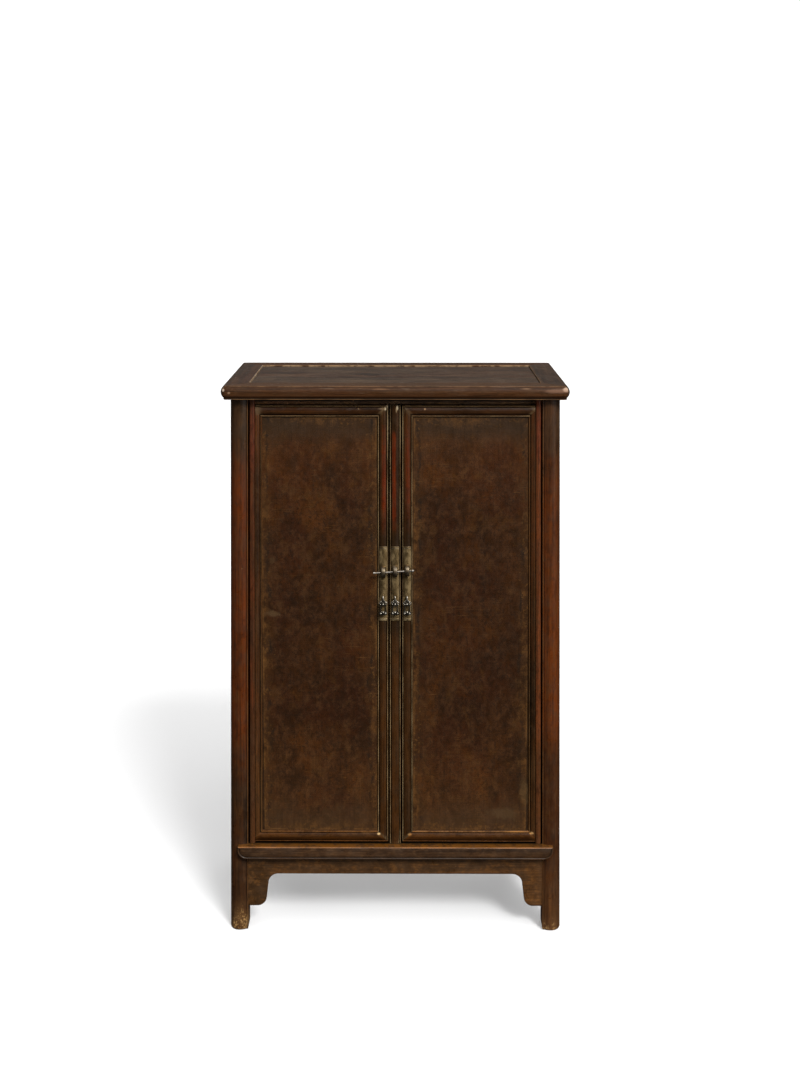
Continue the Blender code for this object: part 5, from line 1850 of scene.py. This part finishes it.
def dress(node, mat):
    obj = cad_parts[node]
    if not obj.material_slots:
        obj.data.materials.append(None)
    for s in obj.material_slots:
        s.link = "OBJECT"
        s.material = mat
    weld = obj.modifiers.new("weld", "WELD")
    weld.merge_threshold = 0.00002
    bevel = obj.modifiers.new("eased", "BEVEL")
    bevel.width = 0.0009
    bevel.segments = 3
    bevel.limit_method = "ANGLE"
    bevel.angle_limit = math.radians(50)
    bevel.harden_normals = False
    return obj


for i, (node, axis) in enumerate(INSIDE.items()):
    dress(node, bare_wood(f"{node}_softwood", axis, i + 1))
for i, (node, axis) in enumerate(FRAME.items()):
    lift = (1, 1, 1)
    # the front upper rail is painted much lighter, where the top's overhang shades it
    if node == "upper_rail_front":
        lift = (4.8, 5.4, 5.4)
    elif "back" in node:
        lift = (1.45, 1.40, 1.30)
    # a painted shadow along the front upper rail's top, under the top's overhang
    dark = [("Z", 1.1458, 1.1478, (8, 6, 4), 0.96)] if node == "upper_rail_front" else ()
    dress(node, old_wood(f"{node}_wood", axis, 130 + i, base=(62, 40, 23), mottle=0.4, gain=lift, shades=dark))
for sx, side in ((-1, "left"), (1, "right")):
    lo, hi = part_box(f"side_panel_{side}")
    dress(
        f"side_panel_{side}",
        lacquer_panel(
            f"side_{side}_lacquer",
            (0.0, (SILL_T + 1.118) / 2),
            (0.142, (1.118 - SILL_T) / 2),
            150 + sx,
            flat=("Y", "Z"),
        ),
    )
    dress(
        f"back_panel_{side}",
        lacquer_panel(
            f"back_{side}_lacquer",
            (sx * 0.164, (SILL_T + 1.118) / 2),
            (0.148, (1.118 - SILL_T) / 2),
            160 + sx,
            gain=(1.45, 1.40, 1.30),
        ),
    )

# ---------------------------------------------------------------- floor, light, camera
bm = bmesh.new()
bmesh.ops.create_grid(bm, x_segments=2, y_segments=2, size=40.0)
floor_mesh = bpy.data.meshes.new("floor")
bm.to_mesh(floor_mesh)
bm.free()
floor = bpy.data.objects.new("floor", floor_mesh)
bpy.context.scene.collection.objects.link(floor)
floor_mat = bpy.data.materials.new("pale_floor")
floor_mat.use_nodes = True
floor_shader = floor_mat.node_tree.nodes["Principled BSDF"]
floor_shader.inputs["Base Color"].default_value = (0.68, 0.68, 0.68, 1)
floor_shader.inputs["Roughness"].default_value = 1.0
floor_shader.inputs["Specular IOR Level"].default_value = 0.0
floor_shader.inputs["Emission Color"].default_value = (1, 1, 1, 1)
floor_shader.inputs["Emission Strength"].default_value = 0.235
floor_mesh.materials.append(floor_mat)
floor.visible_glossy = False
floor.visible_diffuse = False


def sun(name, right, up, strength, spread, shine=True):
    """A broad studio light. right is its angle from the front towards the right, up its height, in degrees."""
    right, up = math.radians(right), math.radians(up)
    towards = (
        math.sin(right) * math.cos(up),
        -math.cos(right) * math.cos(up),
        math.sin(up),
    )
    light = bpy.data.lights.new(name, "SUN")
    light.energy = strength
    light.angle = math.radians(spread)
    obj = bpy.data.objects.new(name, light)
    obj.rotation_euler = Vector(towards).to_track_quat("Z", "Y").to_euler()
    obj.visible_glossy = shine
    bpy.context.scene.collection.objects.link(obj)
    return obj


sun("key", 26, 41, 2.7, 16)
sun("high_key", 26, 58, 0.9, 40)
sun("low_key", 42, 20, 1.1, 60)
sun("overhead", -150, 74, 1.1, 110)
sun("left_fill", -50, 18, 0.60, 70, False)
sun("back_left", -150, 5, 1.9, 40, False)
sun("back_right", 150, 5, 1.6, 40, False)

world = bpy.data.worlds.new("studio")
bpy.context.scene.world = world
world.use_nodes = True
tree = world.node_tree
tree.nodes.clear()
out = tree.nodes.new("ShaderNodeOutputWorld")


def glow(strength):
    node = tree.nodes.new("ShaderNodeBackground")
    node.inputs["Color"].default_value = (1, 1, 1, 1)
    node.inputs["Strength"].default_value = strength
    return node.outputs[0]


def choose(ray, first, second):
    pick = tree.nodes.new("ShaderNodeMixShader")
    tree.links.new(path.outputs[ray], pick.inputs[0])
    tree.links.new(first, pick.inputs[1])
    tree.links.new(second, pick.inputs[2])
    return pick.outputs[0]


path = tree.nodes.new("ShaderNodeLightPath")
light_of = choose("Is Glossy Ray", glow(0.10), glow(0.03))
tree.links.new(choose("Is Camera Ray", light_of, glow(1.05)), out.inputs["Surface"])

scene = bpy.context.scene
scene.view_settings.view_transform = "Standard"
scene.view_settings.look = "None"
camera = bpy.data.cameras.new("camera")
camera.sensor_width = 36.0
camera.lens = 48.798
camera.shift_x = 0.00299
camera.shift_y = -0.17453
camera.clip_end = 200
camera_object = bpy.data.objects.new("camera", camera)
camera_object.location = (0.01822, -3.13776, 1.60441)
camera_object.rotation_euler = (math.radians(83.429), 0.0, math.radians(0.286))
scene.collection.objects.link(camera_object)
scene.camera = camera_object

bpy.context.view_layer.update()
